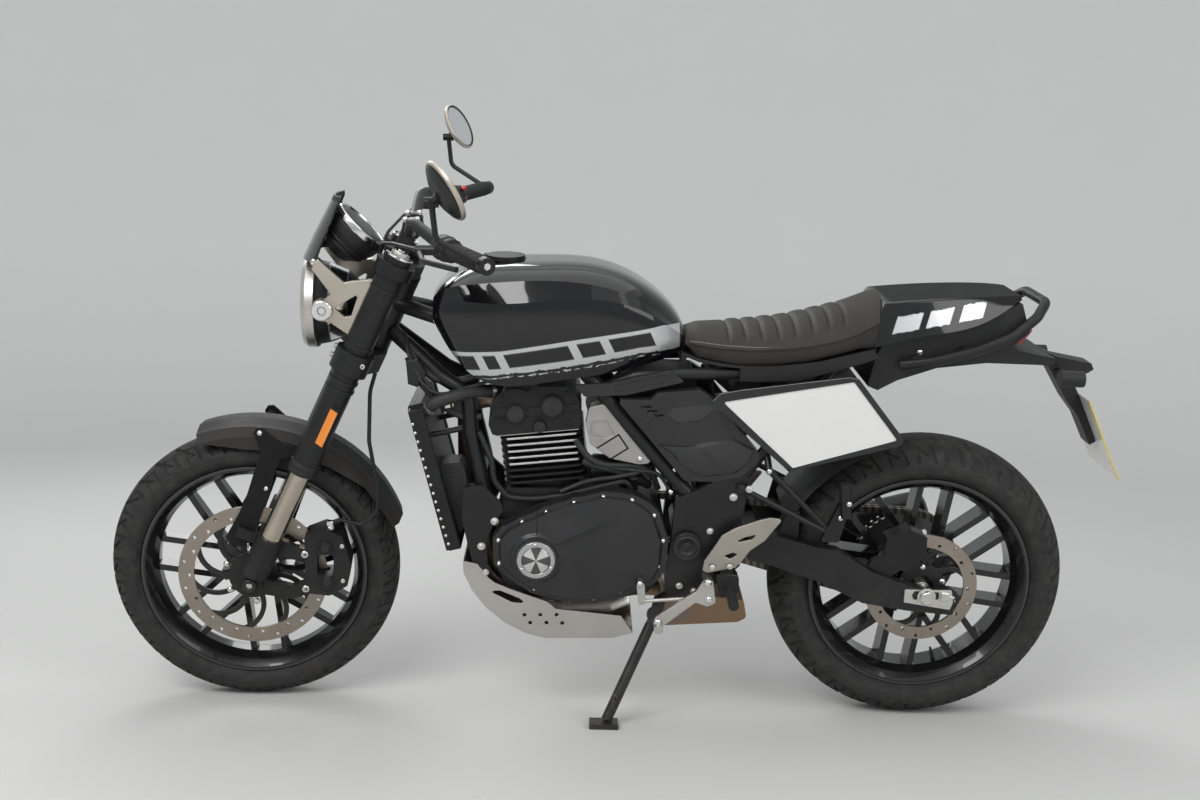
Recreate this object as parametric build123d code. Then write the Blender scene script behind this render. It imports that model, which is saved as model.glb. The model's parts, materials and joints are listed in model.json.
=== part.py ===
from build123d import *
from math import asin, atan, atan2, cos, degrees, hypot, pi, radians, sin, sqrt
import os

# A single-cylinder street tracker, leaning on its side stand.
# It is drawn upright: +X forward from the rear axle, +Y to the rider's left, +Z up from the
# ground. What turns with the fork is drawn with x from the front axle and moved there by "ahead".
# The whole bike is then leaned onto its stand and moved so that the origin is on the floor, in
# the middle of its footprint.

# ---- stance ----
wheelbase = 1371.0
rake = 24.4
trail = 102.0
rest_lean = 10.5
rest_steer = 4.4
running_gap = 0.3
slip_gap = 0.15

# ---- wheels ----
front_tyre_radius = 293.0
front_tyre_width = 112.0
rear_tyre_radius = 306.0
rear_tyre_width = 152.0
tyre_wall = 9.0
rim_radius = 228.0
rim_flange_height = 10.0
rim_seat_width = 13.5
rim_inner_radius = 199.0
front_rim_width = 92.0
rear_rim_width = 118.0
front_spoke_pairs = 7
rear_spoke_pairs = 8
spoke_pair_spread = 64.0
spoke_width = 13.0
front_spoke_turn = 43.6
rear_spoke_turn = 37.6
hub_radius = 34.0
front_hub_width = 104.0
rear_hub_width = 140.0
axle_radius = 10.0
disc_thickness = 5.0
front_disc_radius = 150.0
front_disc_inner_radius = 119.0
front_disc_y = 62.0
front_disc_holes = 30
rear_disc_radius = 115.0
rear_disc_inner_radius = 88.0
rear_disc_y = 74.0
rear_disc_holes = 20
disc_hole_radius = 3.6
caliper_gap = 5.2

# ---- fork and yokes, measured along the fork from the front axle ----
fork_spread = 100.0
stanchion_radius = 21.5
caliper_arm_inner = 78.0
caliper_arm_outer = 92.0
fork_tube_radius = 27.5
fork_casting_radius = 27.0
fork_casting_top = 108.0
fork_tube_bottom = 264.0
fork_tube_top = 738.0
lower_yoke_height = 492.0
lower_yoke_depth = 43.0
top_yoke_height = 700.0
top_yoke_depth = 26.0
yoke_wall = 10.0
stem_radius = 13.0
head_tube_radius = 30.0
bearing_gap = 3.0

# ---- front fender, by its angles about the axle from straight ahead ----
fender_front = 71.0
fender_rear = 160.0

# ---- handlebar ----
bar_radius = 11.0
bar_centre_height = 786.0
bar_half_width = 425.0
grip_radius = 16.0
grip_length = 122.0
riser_spread = 45.0
riser_width = 26.0
bar_wall = 2.6
switch_pod_length = 30.0
mirror_radius = 50.0
mirror_depth = 16.0
mirror_offset = (59.0, 58.0, 130.0)
mirror_knuckle = (24.0, -20.0, -22.0)
mirror_tilt = 28.0
mirror_turn = 22.0

# ---- lamp ----
lamp_setback = 181.0
lamp_z = 852.0
lamp_pivot_setback = 159.0
lamp_radius = 89.0

# ---- engine ----
cylinder_foot = (772.0, 0.0, 506.0)
cylinder_lean = 6.7
case_half_width = 98.0
left_cover_depth = 44.0
right_cover_depth = 50.0
cylinder_half_width = 84.0
hose_ledge = 85.0
breather_radius = 6.0
barrel_height = 112.0
inspection_cap_x = 788.0
inspection_cap_z = 374.0
inspection_cap_radius = 42.0
gear_shaft_x = 580.0
gear_shaft_z = 330.0
gear_shaft_radius = 6.0
clutch_x = 730.0
clutch_z = 392.0
fin_pitch = 13.2
fin_thickness = 4.0
fin_count = 8

# ---- chassis ----
frame_tube_radius = 15.0
rail_spread = 46.0
pivot_x = 490.0
pivot_z = 404.0
pivot_plate_inner = 100.0
pivot_plate_outer = 120.0
pivot_bolt_radius = 9.0
skid_half_width = 112.0
shock_low = (385.0, 428.0)
shock_high = (455.0, 722.0)
shock_bolt_radius = 6.0
lever_pivot_x = 446.0
lever_pivot_z = 341.0
left_arm = (84.0, 112.0)
right_arm = (-122.0, -100.0)
subframe_tube_radius = 12.0
subframe_spread = 92.0

# ---- tank and seat ----
filler_top = 947.0
filler_x = 864.0
filler_radius = 25.0
cap_radius = 38.0
seat_half_width = 122.0
fairing_half_width = 84.0
cowl_gap = 0.9
panel_face = 122.0
board_inner = 138.0
board_rear_post = (268.0, 704.0)
board_front_post = (420.0, 660.0)
board_post_radius = 7.0
plate_half_width = 80.0

# ---- chain ----
rear_sprocket_teeth = 42
front_sprocket_teeth = 15
front_sprocket_x = 590.0
front_sprocket_z = 398.0
chain_pitch = 15.875
chain_y = -88.0
sprocket_thickness = 6.0

# ---- side stand ----
stand_pivot = (544.0, 96.0, 240.0)
stand_foot = (644.0, 186.0)
stand_leg_radius = 11.0
stand_eye_thickness = 10.0
stand_folded = (-0.985, 0.10, 0.14)
stand_lug_turn = 190.0

rake_sin = sin(radians(rake))
rake_cos = cos(radians(rake))
front_axle_place = Pos(wheelbase, 0, front_tyre_radius)
rear_axle_place = Pos(0, 0, rear_tyre_radius)
fork_place = front_axle_place * Rot(0, -rake, 0)
ahead = Pos(wheelbase, 0, 0)
stem_offset = front_tyre_radius * rake_sin - trail * rake_cos


# ---- drawing helpers ----
def side_plate(outline, y_from, y_to, corner=0.0):
    """A slab whose outline is drawn in side view as (x, z), between two distances from the centre."""
    face = Polygon(*outline, align=None)
    if corner:
        face = fillet(face.vertices(), corner)
    return Pos(0, y_to, 0) * extrude(Plane.XZ * face, y_to - y_from, dir=(0, -1, 0))


def flat_plate(outline, z_from, z_to, corner=0.0):
    """A slab whose outline is drawn in plan as (x, y), between two heights."""
    face = Polygon(*outline, align=None)
    if corner:
        face = fillet(face.vertices(), corner)
    return Pos(0, 0, z_from) * extrude(face, z_to - z_from, dir=(0, 0, 1))


def front_plate(outline, x_from, x_to):
    """A slab whose outline is drawn in front view as (y, z)."""
    face = Plane.YZ * Polygon(*outline, align=None)
    return Pos(x_from, 0, 0) * extrude(face, x_to - x_from, dir=(1, 0, 0))


def turned(profile):
    """A body turned about the Y axis from a profile of (radius, y)."""
    return revolve(Polygon(*profile, align=None), Axis.Y)


def turned_z(profile):
    """A body turned about the Z axis from a profile of (radius, z)."""
    return revolve(Plane.XZ * Polygon(*profile, align=None), Axis.Z)


def cross_bar(x, z, radius, y_from, y_to):
    """A round bar across the bike."""
    return Pos(x, y_to, z) * extrude(Plane.XZ * Circle(radius), y_to - y_from, dir=(0, -1, 0))


def rod(start, end, radius, bore=0.0):
    """A straight round bar or tube between two points."""
    start = Vector(*start)
    along = Vector(*end) - start
    section = Circle(radius)
    if bore:
        section -= Circle(bore)
    return extrude(Plane(origin=start, z_dir=along) * section, along.length)


def bent_tube(points, radius, bends):
    """A round tube along straight runs joined by arcs."""
    path = FilletPolyline(*points, radius=bends)
    section = Plane(origin=path @ 0, z_dir=path % 0) * Circle(radius)
    return sweep(section, path=path)


def mirrored(shape):
    """The same piece on the other side of the bike."""
    return mirror(shape, about=Plane.XZ)


def both_sides(shape):
    """The piece and its mirror image, as separate solids of one node."""
    return Compound(children=list(shape.solids()) + list(mirrored(shape).solids()))


def together(*shapes):
    """Separate solids of one node."""
    solids = []
    for shape in shapes:
        solids += list(shape.solids())
    return Compound(children=solids)


def largest(shape):
    """The biggest solid of a shape, without the offcuts."""
    return sorted(shape.solids(), key=lambda solid: -solid.volume)[0]


def placed(place, point):
    """Where a placement takes a point."""
    return (place * Pos(*point)).position


def polar(radius, angle):
    """The point at a radius and an angle from straight ahead."""
    return (radius * cos(radians(angle)), radius * sin(radians(angle)))


# ---- wheels ----
def tyre(radius, width, rim_width):
    """A hollow tyre: an arc crown and arc walls, open between its beads."""
    seat_y = rim_width / 2 - 8.5 - running_gap
    lip_y = rim_width / 2 - 5 - running_gap
    shoulder_radius = radius - width * 0.25
    shoulder_y = width * 0.48
    bulge_radius = (rim_radius + shoulder_radius) / 2 + 3

    def section(inset):
        top = radius - inset * 1.3
        shoulder = (shoulder_radius - inset * 0.7, shoulder_y - inset)
        bulge = (bulge_radius, width / 2 - inset)
        lip = (rim_radius + 1, lip_y - inset)
        bead = (rim_radius - rim_flange_height + running_gap - inset * 0.148, seat_y - inset)
        arcs = [
            Line(bead, lip),
            ThreePointArc(lip, bulge, shoulder),
            ThreePointArc(shoulder, (top, 0), (shoulder[0], -shoulder[1])),
            ThreePointArc((shoulder[0], -shoulder[1]), (bulge[0], -bulge[1]), (lip[0], -lip[1])),
            Line((lip[0], -lip[1]), (bead[0], -bead[1])),
        ]
        return arcs, bead

    outer_arcs, outer_bead = section(0)
    inner_arcs, inner_bead = section(tyre_wall)
    feet = [
        Line(outer_bead, inner_bead),
        Line((outer_bead[0], -outer_bead[1]), (inner_bead[0], -inner_bead[1])),
    ]
    face = make_face(Curve() + outer_arcs + inner_arcs + feet)
    return revolve(face, Axis.Y)


def crown_radius(radius, width):
    """The radius of a tyre's crown arc, across the tread."""
    rise = width * 0.25
    half = width * 0.48
    return (half * half + rise * rise) / (2 * rise)


def rim(width):
    """A cast rim barrel with two bead seats and flanges."""
    half = width / 2
    outside = [
        (rim_radius, half),
        (rim_radius, half - 5),
        (rim_radius - rim_flange_height, half - 8.5),
        (rim_radius - rim_flange_height - 2, half - 8.5 - rim_seat_width),
        (rim_radius - 22, half - 32),
    ]
    inside = [
        (rim_inner_radius, half - 34),
        (rim_radius - 20, half - 14),
        (rim_radius - 8, half),
    ]
    low_outside = [(r, -y) for r, y in reversed(outside)]
    low_inside = [(r, -y) for r, y in reversed(inside)]
    return turned(outside + low_outside + low_inside + inside)


def spokes(pairs, hub_half, rim_half):
    """Straight spokes in parallel pairs; neighbours of two pairs meet in a stem at the hub."""
    pitch = 360.0 / pairs
    offset = spoke_pair_spread / 2
    meet = offset / sin(radians(pitch / 2))
    reach = rim_inner_radius + 2
    run_in = meet * cos(radians(pitch / 2))
    star = Circle(hub_radius + 4)
    for index in range(pairs):
        bar = Pos((reach + run_in) / 2, 0) * Rectangle(reach - run_in, spoke_width)
        for side in (offset, -offset):
            star += Rot(0, 0, index * pitch) * Pos(0, side) * bar
        stem = Pos(meet / 2, 0) * Rectangle(meet, spoke_width * 1.7)
        star += Rot(0, 0, (index + 0.5) * pitch) * stem
    slab = Pos(0, hub_half, 0) * extrude(Plane.XZ * star, hub_half * 2, dir=(0, -1, 0))
    waist = hub_half * 0.62
    lens = turned([
        (0, hub_half), (hub_radius, hub_half * 0.8), (meet, waist), (reach, rim_half),
        (reach, -rim_half), (meet, -waist), (hub_radius, -hub_half * 0.8), (0, -hub_half),
    ])
    return slab & lens


def cast_wheel(rim_width, pairs, hub_width, turn):
    """A cast wheel: rim, paired spokes and a bored hub with a bearing seat each side."""
    hub = turned([(0, hub_width / 2), (hub_radius, hub_width / 2), (hub_radius, -hub_width / 2),
                  (0, -hub_width / 2)])
    half = rim_width / 2
    body = rim(rim_width) + Rot(0, turn, 0) * spokes(pairs, half * 0.62, half - 34) + hub
    bore = cross_bar(0, 0, axle_radius + running_gap, -hub_width, hub_width)
    return body - bore


def brake_disc(radius, inner_radius, y, holes, arms, hub_face):
    """A drilled rotor carried on curved arms from a ring on the hub's face."""
    half = disc_thickness / 2
    rotor = Circle(radius) - Circle(inner_radius)
    for index in range(holes):
        row = inner_radius + (radius - inner_radius) * (0.3 + 0.4 * (index % 2))
        rotor -= Pos(*polar(row, index * 360.0 / holes)) * Circle(disc_hole_radius)
    ring_radius = hub_radius + 16
    carrier = Circle(ring_radius) - Circle(hub_radius - 8)
    for index in range(arms):
        turn = index * 360.0 / arms
        start = polar(ring_radius - 4, turn)
        middle = polar((ring_radius + inner_radius) / 2, turn + 8)
        end = polar(inner_radius + 5, turn + 30)
        spine = ThreePointArc(start, middle, end)
        carrier += trace(spine, line_width=10)
    carrier = carrier & Circle(inner_radius + 6)
    slab = extrude(Plane.XZ * rotor, disc_thickness, dir=(0, -1, 0))
    web = extrude(Plane.XZ * carrier, disc_thickness, dir=(0, -1, 0))
    seat = cross_bar(0, 0, hub_radius, hub_face, y) - cross_bar(0, 0, hub_radius - 8, hub_face, y)
    return Pos(0, y + half, 0) * (slab + web) + seat


def sprocket():
    """A toothed ring on a spider, carried by the hub's right face."""
    pitch_radius = chain_pitch / (2 * sin(pi / rear_sprocket_teeth))
    root_radius = pitch_radius - 5.2
    tip_radius = pitch_radius + 4.0
    blank = Circle(tip_radius)
    for index in range(rear_sprocket_teeth):
        angle = index * 360.0 / rear_sprocket_teeth
        blank -= Pos(*polar(pitch_radius + 1.0, angle)) * Circle(pitch_radius - root_radius + 1.0)
    blank -= Circle(hub_radius - 10)
    for index in range(6):
        blank -= Pos(*polar(62, index * 60.0)) * Circle(17)
    half = sprocket_thickness / 2
    plate = Pos(0, chain_y + half, 0) * extrude(Plane.XZ * blank, sprocket_thickness, dir=(0, -1, 0))
    face = rear_hub_width / 2
    carrier = cross_bar(0, 0, hub_radius + 8, chain_y, -face - running_gap)
    return plate + (carrier - cross_bar(0, 0, hub_radius - 10, -120, 0))


# ---- fork ----
def fork_lowers():
    """Each leg: a bright stanchion in a casting that clamps the axle and carries the caliper."""
    leg = Pos(0, fork_spread, 0) * (
        Pos(0, 0, 20) * extrude(Circle(fork_casting_radius), fork_casting_top - 20)
        + Pos(0, 0, fork_casting_top) * extrude(Circle(stanchion_radius), 390)
    )
    boss = cross_bar(0, 0, 25, 74, 112)
    neck = Pos(0, 93, 15) * Box(36, 38, 40)
    lug = Pos(45, 80, 86) * Box(44, 12.5, 22)
    bore = cross_bar(0, 0, axle_radius + slip_gap, 60, 140)
    leg = leg + boss + neck
    right = fork_place * mirrored(leg - bore)
    left = fork_place * (leg + lug - bore)
    return together(left + caliper_lugs(), right)


def caliper_lugs():
    """Two arms of the left casting that reach back to the caliper."""
    low = side_plate([(4, 268), (-9, 300), (-81, 282), (-109, 292), (-109, 262), (-81, 252)],
                     caliper_arm_inner, caliper_arm_outer)
    high = side_plate([(-41, 350), (-53, 392), (-91, 368), (-109, 366), (-109, 340), (-81, 340)],
                      caliper_arm_inner, caliper_arm_outer)
    return ahead * (low + high) - cross_bar(wheelbase, front_tyre_radius, 20, 60, 140)


def fork_uppers():
    """Each upper tube: a sleeve over the stanchion with a seal collar and a top cap."""
    length = fork_tube_top - fork_tube_bottom
    tube = extrude(Circle(fork_tube_radius), length) + extrude(Circle(fork_tube_radius + 1.5), 22)
    bore = extrude(Circle(stanchion_radius + slip_gap), length - 20)
    cap = Pos(0, 0, length) * extrude(Circle(18), 8)
    leg = Pos(0, fork_spread, fork_tube_bottom) * (tube - bore + cap)
    return both_sides(fork_place * leg)


def yoke(height, depth, front, back):
    """A yoke: two clamps round the fork tubes and a web that carries the steering stem."""
    outer = fork_tube_radius + yoke_wall
    face = Polygon((front, fork_spread), (front, -fork_spread), (-outer * 0.7, -fork_spread),
                   (back, -30), (back, 30), (-outer * 0.7, fork_spread), align=None)
    for side in (1, -1):
        face += Pos(0, side * fork_spread) * Circle(outer)
    for side in (1, -1):
        face -= Pos(0, side * fork_spread) * Circle(fork_tube_radius + slip_gap)
    return Pos(0, 0, height) * extrude(face, depth, dir=(0, 0, 1))


def yokes():
    """The lower yoke with its stem, the top yoke, and the bar risers on it."""
    stem_top = top_yoke_height + top_yoke_depth
    low = yoke(lower_yoke_height, lower_yoke_depth, 12, -stem_offset - 30)
    stem_length = stem_top - lower_yoke_height
    stem = Pos(-stem_offset, 0, lower_yoke_height) * extrude(Circle(stem_radius), stem_length + 6)
    high = yoke(top_yoke_height, top_yoke_depth, 20, -stem_offset - 26)
    high -= Pos(-stem_offset, 0, top_yoke_height - 1) * extrude(Circle(stem_radius + slip_gap), 60)
    nut = Pos(-stem_offset, 0, stem_top + 6.2) * extrude(RegularPolygon(17, 6), 9)
    rise = bar_centre_height + 16 - stem_top
    riser = Pos(0, riser_spread, stem_top + rise / 2) * Box(30, riser_width, rise)
    riser = fillet(riser.edges().filter_by(Axis.Y), 5)
    riser -= Pos(0, 100, bar_centre_height) * extrude(
        Plane.XZ * Circle(bar_radius + slip_gap), 200, dir=(0, -1, 0))
    high = high + riser + mirrored(riser)
    return together(fork_place * (low + stem), fork_place * high, fork_place * nut)


def front_axle():
    """The axle pin with a spacer each side of the hub."""
    spacer_from = front_hub_width / 2 + running_gap
    pin = cross_bar(wheelbase, front_tyre_radius, axle_radius, -116, 116)
    for low, high in ((spacer_from, 74), (-74, -spacer_from)):
        pin += cross_bar(wheelbase, front_tyre_radius, axle_radius + 5, low, high)
    return pin


def front_fender():
    """A crowned mudguard close over the tyre, with a T-shaped stay each side, seated on the fork."""
    inner = [(272, 63), (296, 60), (311, 44), (316, 0)]
    outer = [(272, 66), (297.5, 63), (314, 46), (319.5, 0)]
    section = outer + [(r, -y) for r, y in reversed(outer[:-1])]
    section += [(r, -y) for r, y in inner[:-1]] + [(r, y) for r, y in reversed(inner)]
    guard = revolve(Polygon(*section, align=None), Axis.Y, fender_rear - fender_front)
    guard = Rot(0, -fender_rear, 0) * guard
    skirt = [(300, 69), (289, 76), (277, 84), (274, 108), (284, 124), (298, 140), (306, 162)]
    over = [(345, 162), (370, 140), (370, 116), (370, 92), (345, 69)]
    guard = guard & side_plate([polar(r, angle) for r, angle in skirt + over], -90, 90)
    guard = front_axle_place * guard
    stay = side_plate([(-14, 603), (-21, 614), (-32, 615), (-41, 607), (-71, 577), (-119, 582), (-107, 560),
                       (-88, 553), (-65, 548), (-54, 524), (-35, 460), (-13, 403), (-2, 374), (18, 359),
                       (41, 365), (50, 381), (22, 431), (3, 475), (-11, 517), (-26, 559), (-21, 587)],
                      70, 73.7)
    foot = cross_bar(-27, 596, 8, 60, 70)
    collar = fork_place * Pos(0, fork_spread, 100) * extrude(Circle(fork_tube_radius + 1.8), 300)
    half = largest(ahead * (stay + foot) - collar - guard)
    return together(guard, both_sides(half))


def front_caliper():
    """A four-piston caliper astride the disc, seated on the casting's two arms."""
    body = side_plate([(-109.3, 268), (-109.3, 392), (-149, 408), (-185, 392), (-201, 330), (-193, 284),
                       (-156, 262)], 42, 98, 8)
    half_slot = disc_thickness / 2 + caliper_gap
    slot = cross_bar(0, front_tyre_radius, front_disc_radius + caliper_gap,
                     front_disc_y - half_slot, front_disc_y + half_slot)
    window = side_plate([(-133, 306), (-133, 352), (-166, 352), (-166, 306)], 40, 100, 6)
    bores = cross_bar(-150, 368, 15, 98, 101) + cross_bar(-152, 292, 15, 98, 101)
    return ahead * (body - slot - window + bores)


def brake_hose():
    """The front brake hose, from the caliper up behind the fork to the lower yoke."""
    points = [(-160, 84, 404.4), (-172, 84, 425), (-222, 82, 412), (-254, 80, 440), (-254, 80, 500),
              (-240, 80, 590), (-243, 72, 690), (-253, 60, 725)]
    return ahead * bent_tube(points, 4, [14, 16, 24, 60, 60, 60])


def headlight():
    """A round lamp bowl with a bright rim, hung between the brackets."""
    rim_step = lamp_radius - 5.5
    bore = lamp_radius - 11.6
    profile = [(0, -48), (40, -44), (64, -20), (78, 14), (rim_step, 40), (lamp_radius, 42), (lamp_radius, 58),
               (rim_step, 66), (bore, 66), (bore, 38), (58, 0), (36, -30), (0, -36)]
    bowl = revolve(Polygon(*[(x, r) for r, x in profile], align=None), Axis.X)
    pivot = lamp_setback - lamp_pivot_setback
    for side in (1, -1):
        bowl += Pos(pivot, side * 84, 10) * Rot(90, 0, 0) * Cylinder(12, 12)
    bowl -= revolve(Polygon((-34, 0), (-28, 34), (1, 57), (39, bore), (39, 0), align=None), Axis.X)
    return ahead * Pos(-lamp_setback, 0, lamp_z) * bowl


def headlight_lens():
    """A shallow glass dome inside the rim."""
    radius = lamp_radius - 12.0
    face = make_face(
        Curve() + [Line((48, 0), (44, radius)), Line((44, radius), (50, radius)),
                   ThreePointArc((50, radius), (60, 41), (64, 4)), Line((64, 4), (64, 0)),
                   Line((64, 0), (48, 0))])
    return ahead * Pos(-lamp_setback, 0, lamp_z) * revolve(face, Axis.X)


def headlight_brackets():
    """Cast side brackets: two arms from the fork tube to the lamp's pivot, and a blade to the screen."""
    outline = [(-141, 941), (-153, 959), (-201, 914), (-216, 918), (-250, 922), (-275, 918), (-227, 808),
               (-218, 806), (-175, 836), (-158, 840), (-140, 855), (-144, 873), (-163, 881), (-176, 893)]
    plate = side_plate(outline, 96, 106, 3)
    plate -= side_plate([(-182, 865), (-228, 894), (-213, 850), (-201, 848)], 90, 110, 3)
    plate -= side_plate([(-245, 892), (-262, 895), (-234, 831), (-228, 840)], 90, 110)
    pivot_z = lamp_z + 10
    boss = cross_bar(-lamp_pivot_setback, pivot_z, 20, 90.3, 116)
    boss -= cross_bar(-lamp_pivot_setback, pivot_z, 8, 112, 117)
    tube = fork_place * Pos(0, fork_spread, fork_tube_bottom) * extrude(
        Circle(fork_tube_radius + slip_gap), 500)
    return both_sides(largest(ahead * (plate + boss) - tube))


def flyscreen():
    """A small curved screen that leans back over the lamp."""
    axis_x = wheelbase - 251.0
    inner = [(136, 940), (112, 990), (72, 1066)]
    outer = [(r + 3.5, z + 1.0) for r, z in reversed(inner)]
    face = Plane.XZ * Polygon(*(inner + outer), align=None)
    sheet = Rot(0, 0, -38) * revolve(face, Axis.Z, 76)
    shape = front_plate([(-84, 946), (-86, 980), (-60, 1050), (-40, 1070), (40, 1070), (60, 1050),
                         (86, 980), (84, 946)], 60, 300)
    screen = Pos(axis_x, 0, 0) * (sheet & shape)
    stud = ahead * cross_bar(-148, 951, 4.5, 78, 96 - slip_gap)
    return screen + stud + mirrored(stud)


def instrument():
    """A round clock in a bowl, tipped back to face the rider, on a tab over the top yoke."""
    bowl = turned_z([(0, -62), (24, -58), (45, -38), (56, -12), (59, 2), (59, 14), (55, 18), (0, 18)])
    tab_bottom = top_yoke_height + top_yoke_depth + slip_gap
    tab = fork_place * Pos(22, 0, tab_bottom + 2) * Box(60, 36, 4)
    return ahead * Pos(-216, 0, 994) * Rot(0, -44, 0) * bowl + tab


def bar_path():
    """The bar's points on the left, from the middle out."""
    centre = fork_place * Pos(0, 0, bar_centre_height)
    x, z = centre.position.X, centre.position.Z
    return [(x, 0, z), (x, 82, z), (x - 8, 180, z + 38), (x - 72, 292, z + 12),
            (x - 139, bar_half_width, z + 11)]


def bar_tube(radius):
    """The whole bar at a given radius, solid."""
    half = bar_path()
    points = [(x, -y, z) for x, y, z in reversed(half[1:])] + half[1:]
    return bent_tube(points, radius, 60)


def handlebar():
    """A wide swept-back tube, bored at its ends for the mirrors' plugs."""
    end = bar_station(1)
    out = (end - bar_station(0)).normalized()
    bore = rod(end - out * 32, end + out, bar_radius - bar_wall)
    return bar_tube(bar_radius) - bore - mirrored(bore)


def bar_station(share):
    """A point on the straight end run of the bar, from its last bend (0) to its end (1)."""
    start = Vector(*bar_path()[-2])
    end = Vector(*bar_path()[-1])
    return start + (end - start) * share


def grips():
    """A soft grip over each end of the bar."""
    run = (bar_station(1) - bar_station(0)).length
    begin = bar_station(1 - grip_length / run)
    return both_sides(rod(begin, bar_station(1), grip_radius, bar_radius + running_gap))


def pod_station():
    """Where the switch pod begins: the perch and the lever are set out from here."""
    run = (bar_station(1) - bar_station(0)).length
    return bar_station(1 - (grip_length + running_gap + switch_pod_length) / run)


def bar_control():
    """One side's switch pod inboard of the grip, with a lever ahead of the grip on its perch."""
    near = pod_station()
    far = bar_station(1)
    out = (far - near).normalized()
    pod = rod(near, near + out * switch_pod_length, 21)
    perch = rod((near.X + 2, near.Y + 12, near.Z - 2), (near.X + 48, near.Y + 4, near.Z - 4), 9)
    blade = bent_tube([(near.X + 44, near.Y + 6, near.Z - 4), (near.X + 34, near.Y + 60, near.Z - 12),
                       (far.X + 44, far.Y - 6, far.Z - 10)], 5, 40)
    return pod + perch + blade - bar_tube(bar_radius + slip_gap)


def reservoir():
    """The front brake's master cylinder and its square pot, on the right perch."""
    near = pod_station()
    pot = fillet(Box(42, 46, 34).edges().filter_by(Axis.Z), 6)
    pot = Pos(near.X + 56, near.Y - 34, near.Z - 2) * pot
    neck = rod((near.X + 46, near.Y + 6, near.Z - 4), (near.X + 54, near.Y - 16, near.Z - 4), 8)
    return pot + neck - bar_tube(bar_radius + slip_gap)


def bar_controls():
    """The clutch lever and switches on the left; the brake lever, its pot and switches on the right."""
    return together(bar_control(), mirrored(bar_control() + reservoir()))


def mirror_place():
    """A mirror's own frame: origin at the glass, Z out of it."""
    end = bar_station(1)
    centre = Pos(end.X + mirror_offset[0], end.Y + mirror_offset[1], end.Z + mirror_offset[2])
    return centre * Rot(0, 0, mirror_turn) * Rot(0, -90 + mirror_tilt, 0)


def mirrors():
    """Round bar-end mirrors: each stem slants up from the bar's end, then stands to a knuckle."""
    end = bar_station(1)
    out = (end - bar_station(0)).normalized()
    clamp = rod(end + out * running_gap, end + out * 16, 15)
    clamp += rod(end - out * 30, end + out * 2, bar_radius - bar_wall - slip_gap)
    centre = mirror_place().position
    ball = Vector(centre.X + mirror_knuckle[0], centre.Y + mirror_knuckle[1], centre.Z + mirror_knuckle[2])
    stem = bent_tube([tuple(end + out * 8), (end.X + 76, ball.Y - 4, end.Z + 46), tuple(ball)], 5, 20)
    shell = mirror_place() * turned_z([(0, -mirror_depth), (30, -mirror_depth + 1), (mirror_radius - 4, -8),
                                       (mirror_radius, -3), (mirror_radius, 2), (mirror_radius - 4, 2),
                                       (mirror_radius - 4, -1), (0, -1)])
    knuckle = rod((ball.X - 12, ball.Y, ball.Z), (ball.X + 12, ball.Y, ball.Z), 8)
    socket = rod(tuple(ball), tuple(placed(mirror_place(), (0, 0, -mirror_depth + 2))), 6)
    return both_sides(clamp + stem + knuckle + socket + shell)


def mirror_glasses():
    """The round glass in each mirror."""
    glass = mirror_place() * (Pos(0, 0, -0.85) * extrude(Circle(mirror_radius - 4.2), 2.4))
    return both_sides(glass)


def control_line(start):
    """A hose or cable from a perch, in past the clock and down in front of the top yoke."""
    def from_fork(x, y, height):
        point = placed(fork_place, (x, y, height))
        return (point.X, point.Y, point.Z)

    low = lower_yoke_height + lower_yoke_depth + running_gap
    points = [start, (wheelbase - 296, 150, 1000), from_fork(38, 58, top_yoke_height + 40),
              from_fork(33, 44, top_yoke_height - 8), from_fork(6, 32, low + 70), from_fork(6, 30, low)]
    return bent_tube(points, 3.5, [40, 28, 40, 40])


def control_lines():
    """The clutch cable on the left, and the front brake's upper hose on the right."""
    near = pod_station()
    cable = control_line((near.X + 46, near.Y, near.Z - 4)) - bar_control()
    hose = control_line((near.X + 60, near.Y - 50, near.Z - 4)) - reservoir()
    return together(cable, mirrored(hose))


# ---- frame ----
def head_tube():
    """The steering head: a tube round the stem, between the yokes."""
    low = lower_yoke_height + lower_yoke_depth + bearing_gap
    high = top_yoke_height - bearing_gap
    tube = Pos(-stem_offset, 0, low) * extrude(Circle(head_tube_radius), high - low)
    return fork_place * tube


def stem_bore():
    """The hole through the steering head for the stem."""
    return fork_place * Pos(-stem_offset, 0, lower_yoke_height) * extrude(Circle(stem_radius + 1.0), 260)


def rail_points():
    """The left main rail, from the head back under the tank and down to the pivot plate."""
    return [(wheelbase - 289, 14, 856), (960, rail_spread, 826), (765, rail_spread, 800), (690, 84, 730),
            (482, pivot_plate_inner, 494)]


def main_rail(radius):
    """The left main rail at a given radius."""
    return bent_tube(rail_points(), radius, [60, 80, 50])


def down_tube(radius):
    """The left downtube, from the head down past the cylinder to the engine's front mounting."""
    return bent_tube([(wheelbase - 285, 16, 800), (984, 46, 716), (930, 60, 688), (926, 62, 612),
                      (906, 66, 530), (893, 74, 462)], radius, [60, 46, 90, 120])


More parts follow.
